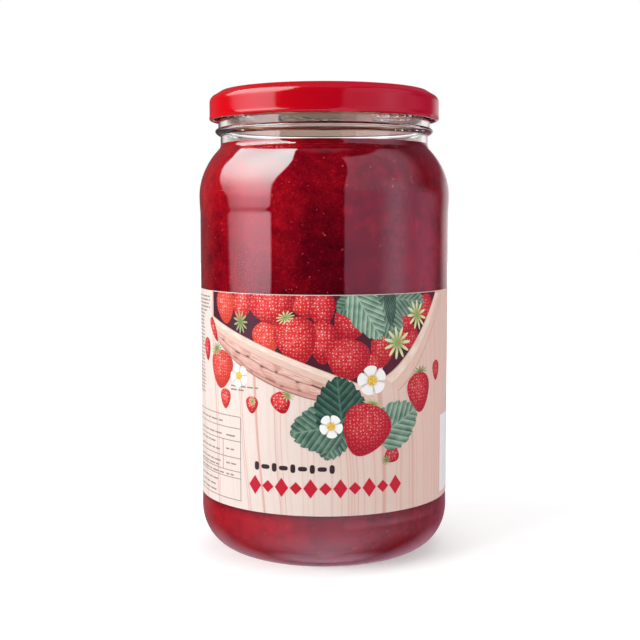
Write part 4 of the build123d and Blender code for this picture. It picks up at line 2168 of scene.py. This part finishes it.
@dataclass
class Studio:
    """Camera, lamps, world and floor: a pale table in a white studio with a large soft box at the left.

    The lid's upright side shows a lift of 5 to 6.5 degrees, and some parts of the world differ there.
    """

    target: Array
    camera_turn: float = -0.21
    camera_distance: float = 0.4268
    camera_height: float = 0.1245
    camera_dip: float = 5.31
    lens: float = 63.66
    floor_half: float = 2.5
    floor_front: float = 0.7
    ambient: float = 0.32
    wall_behind: Floats = (0.40, 0.26, 0.20)
    wall_within: Floats = (1.05, 0.64, 0.50)
    white: Floats = (1.0, 1.0, 1.0)

    def camera(self) -> None:
        """Sets the camera level with the shoulder, looking slightly down."""
        data = bpy.data.cameras.new("camera")
        data.lens = self.lens
        data.clip_start = 0.01
        made = bpy.data.objects.new("camera", data)
        made.location = round_axis(self.camera_distance, self.camera_height, np.radians(self.camera_turn))
        made.rotation_euler = (np.radians(90 - self.camera_dip), 0.0, 0.0)
        bpy.context.scene.collection.objects.link(made)
        bpy.context.scene.camera = made

    def lamps(self) -> None:
        """A key at the left, a fill at the right and a weak one overhead."""
        for lamp in (
            Lamp("key", -64, 30, 1.1, 0.8, 11.6),
            Lamp("fill", 56, 16, 1.2, 0.9, 5.4),
            Lamp("overhead", 150, 72, 1.1, 0.9, 6.0),
        ):
            lamp.build(self.target)

    def world(self) -> None:
        """White to the camera and through glass, a studio in reflections, and dim to everything else.

        Turn is arctan2(x, -y) and lift arcsin(z) of the ray's direction, both in degrees. Behind the
        jar, just over the table, glass shows a beige wall. Reflections inside the glass show a
        brighter beige instead of the studio.
        """
        world = bpy.data.worlds.new("studio")
        world.use_nodes = True
        bpy.context.scene.world = world
        bench = Bench(world.node_tree)
        x, y, z = bench.parts(bench.output("TexCoord", {}, "Generated"))
        ahead = y * -1.0
        turn = bench.math("DEGREES", bench.math("ARCTAN2", x, ahead))
        lift = bench.math("DEGREES", bench.math("ARCSINE", z))
        studio = bench.coloured(1.0, (0.02, 0.01, 0.015))
        for part in (self.soft_box, self.pale_wall, self.overhead, self.table_top, self.backdrop):
            studio = bench.total(studio, part(bench, turn, lift))
        path = bench.node("LightPath", {}).outputs
        first = bench.math("LESS_THAN", path["Diffuse Depth"], 0.5)
        within = bench.math("GREATER_THAN", path["Transmission Depth"], 0.5)
        studio = bench.mix(within, studio, self.wall_within)
        lit = bench.mix(first * path["Is Glossy Ray"], (self.ambient,) * 3, studio)
        behind = ahead.step(-0.9, -0.97) * lift.window(1.0, 12.0, 1.0)
        through = bench.mix(behind, self.white, self.wall_behind)
        seen = bench.mix(first * path["Is Transmission Ray"], lit, through)
        background = world.node_tree.nodes["Background"]
        bench.feed(background.inputs["Color"], bench.mix(path["Is Camera Ray"], seen, self.white))

    def soft_box(self, bench: Bench, turn: Signal, lift: Signal) -> Socket:
        """The large soft box at the left: brighter upwards, and dimmer to its far side, more so low down.

        Its near edge bends back over the jar with a power of the lift above 50 degrees.

        Args:
            bench: works on the world.
            turn: the direction's turn.
            lift: its lift.

        Returns:
            Its colour there.
        """
        lid = lift.window(5.0, 6.5, 0.35)
        far = lift.step(-9, 31, -94, -124) + lift.step(32, 44, 0, -16)
        far = bench.math("MINIMUM", far, lid * lift.step(5.1, 6.3, -93.0, -119.0))
        bend = ((lift - 50.0) / 21.0).at_least(0.0) ** 2.5 * -23.0
        near = bend + lift.step(18, 48, -49.0, -43.5) + lift.step(-3, -9, 0, -5)
        inside = (turn - far).step(-2.5, 2.5) * (turn - near).step(1.5, -1.5)
        upright = lift.step(-14, 2) * lift.step(77, 74.5)
        low = turn.step(-110, -62, 0.15, 1.0) * (1.0 - lid) + turn.step(-118, -68) * lid
        high = turn.step(-128, -70, 0.5, 1.0)
        share = lift.step(4, 26)
        level = inside * upright * (low * (1.0 - share) + high * share) * 15.0
        stops = {
            0.0: (0.41, 0.30, 0.35),
            0.38: (0.54, 0.50, 0.52),
            0.66: (0.60, 0.79, 0.79),
            0.9: (0.62, 0.94, 0.93),
        }
        return bench.coloured(level, bench.ramp(lift / 45.0, stops))

    def pale_wall(self, bench: Bench, turn: Signal, lift: Signal) -> Socket:
        """The wall at the right: rose low down, paler higher up, with a brighter upright strip in it.

        Args:
            bench: works on the world.
            turn: the direction's turn.
            lift: its lift.

        Returns:
            Its colour there.
        """
        near = lift.step(10, 60, 18, 28)
        top = (turn * 0.05 + lift).step(67, 63)
        inside = (turn - near).step(-1.2, 1.2) * top * lift.step(-15, -10)
        far = lift.step(-2, 14, 114, 92) + lift.step(14, 50, 0, 20)
        fall = ((turn - far) / 20.0).step(1.0, -0.9)
        lid = lift.window(5.0, 6.4, 0.4) * turn.step(68, 76, 0.0, 0.28)
        colour = bench.mix(lift.step(0, 16), (1.9, 0.68, 1.08), (1.8, 1.0, 1.34))
        strip = turn.window(57, 77, 11) * lift.step(32, 12, 0.0, 0.75)
        return bench.coloured(inside * fall * (1.0 - lid), bench.mix(strip, colour, (3.0, 1.9, 2.5)))

    def overhead(self, bench: Bench, turn: Signal, lift: Signal) -> Socket:
        """The dim ceiling."""
        return bench.coloured(lift.step(70, 78), (0.45, 0.30, 0.38))

    def table_top(self, bench: Bench, turn: Signal, lift: Signal) -> Socket:
        """The lit table in front of the jar, brighter as it comes nearer, and faint behind it.

        Its level falls to both sides as exp(-t^2), where t is the turn in widths of the lit part, and
        is more even close under the jar.

        Args:
            bench: works on the world.
            turn: the direction's turn.
            lift: its lift.

        Returns:
            Its colour there.
        """
        t = (turn - 8.0) / 74.0
        t = t.at_least(t * lift.step(-22, -45, 1.0, 1.4))
        wide = bench.math("EXPONENT", t * t * -1.0).at_least(lift.step(-55, -80, 0.0, 0.75))
        wide = wide.at_least(abs(turn).step(90, 140, 0.0, lift.step(-20, -32, 0.06, 0.2)))
        level = wide * lift.step(-12.0, -50.0, 1.35, 2.2) * lift.step(-10.0, -12.0)
        return bench.coloured(level, (1.5, 1.0, 1.28))

    def backdrop(self, bench: Bench, turn: Signal, lift: Signal) -> Socket:
        """The backdrop: white at a slant at the right, with a rose wall round it, and very dim at the left.

        Args:
            bench: works on the world.
            turn: the direction's turn.
            lift: its lift.

        Returns:
            Its colour there.
        """
        right = turn.step(130, 148, 0.0, 0.75) * lift.window(-6, 9, 5)
        white = bench.coloured(right + turn.step(-110, -140, 0.0, 0.09), self.white)
        return bench.total(white, bench.coloured(turn.step(95, 125), (0.26, 0.085, 0.125)))

    def floor(self) -> None:
        """A pale table that glows with painted light to the camera and through glass: weakly near the jar,
        where its shadow shows, and fully white away from it.

        Reflections take the table from the world instead.
        """
        half, front = self.floor_half, self.floor_front
        corners = np.array([(-half, -front, 0), (half, -front, 0), (half, half, 0), (-half, half, 0)], float)
        material, bench, shader = new_material("table")
        length = Signal(bench, bench.output("VectorMath", {0: bench.place()}, "Value", operation="LENGTH"))
        path = bench.node("LightPath", {}).outputs
        seen = bench.math("MAXIMUM", path["Is Camera Ray"], path["Is Transmission Ray"])
        inputs = {
            "Base Color": (0.80, 0.80, 0.80),
            "Roughness": 0.6,
            "Specular IOR Level": 0.1,
            "Emission Color": self.white,
            # Painted glow: weak close to the jar and full away from it.
            "Emission Strength": seen * length.step(0.07, 0.50, 0.34, 1.0),
        }
        bench.feed_all(shader, inputs)
        skin = Skin(corners, np.array([[0, 1, 2, 3]]), np.empty((0, 3), int))
        table = skin.made("table", [material])
        table.visible_glossy = False

    def build(self) -> None:
        """Sets the whole studio up."""
        self.camera()
        self.lamps()
        self.world()
        self.floor()
        bpy.context.scene.view_settings.view_transform = "Standard"


def main() -> None:
    """Builds the jar piece by piece, then the studio round it."""
    logging.basicConfig(level=logging.INFO, format="%(message)s")
    shape = JarShape.from_frame()
    pieces = [GlassJar(shape, Thread()).build(ClearGlass().made())]
    pieces += JamFill(shape).build()
    pieces.append(Lid.from_frame().build())
    pieces += Label(Paper.from_frame()).build()
    for piece in pieces:
        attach(piece, BODY)
        log.info("%s: %d points, %d faces", piece.name, len(piece.data.vertices), len(piece.data.polygons))
    Studio(target=np.array([0.0, 0.0, shape.rim_top / 2])).build()


if __name__ == "__main__":
    main()
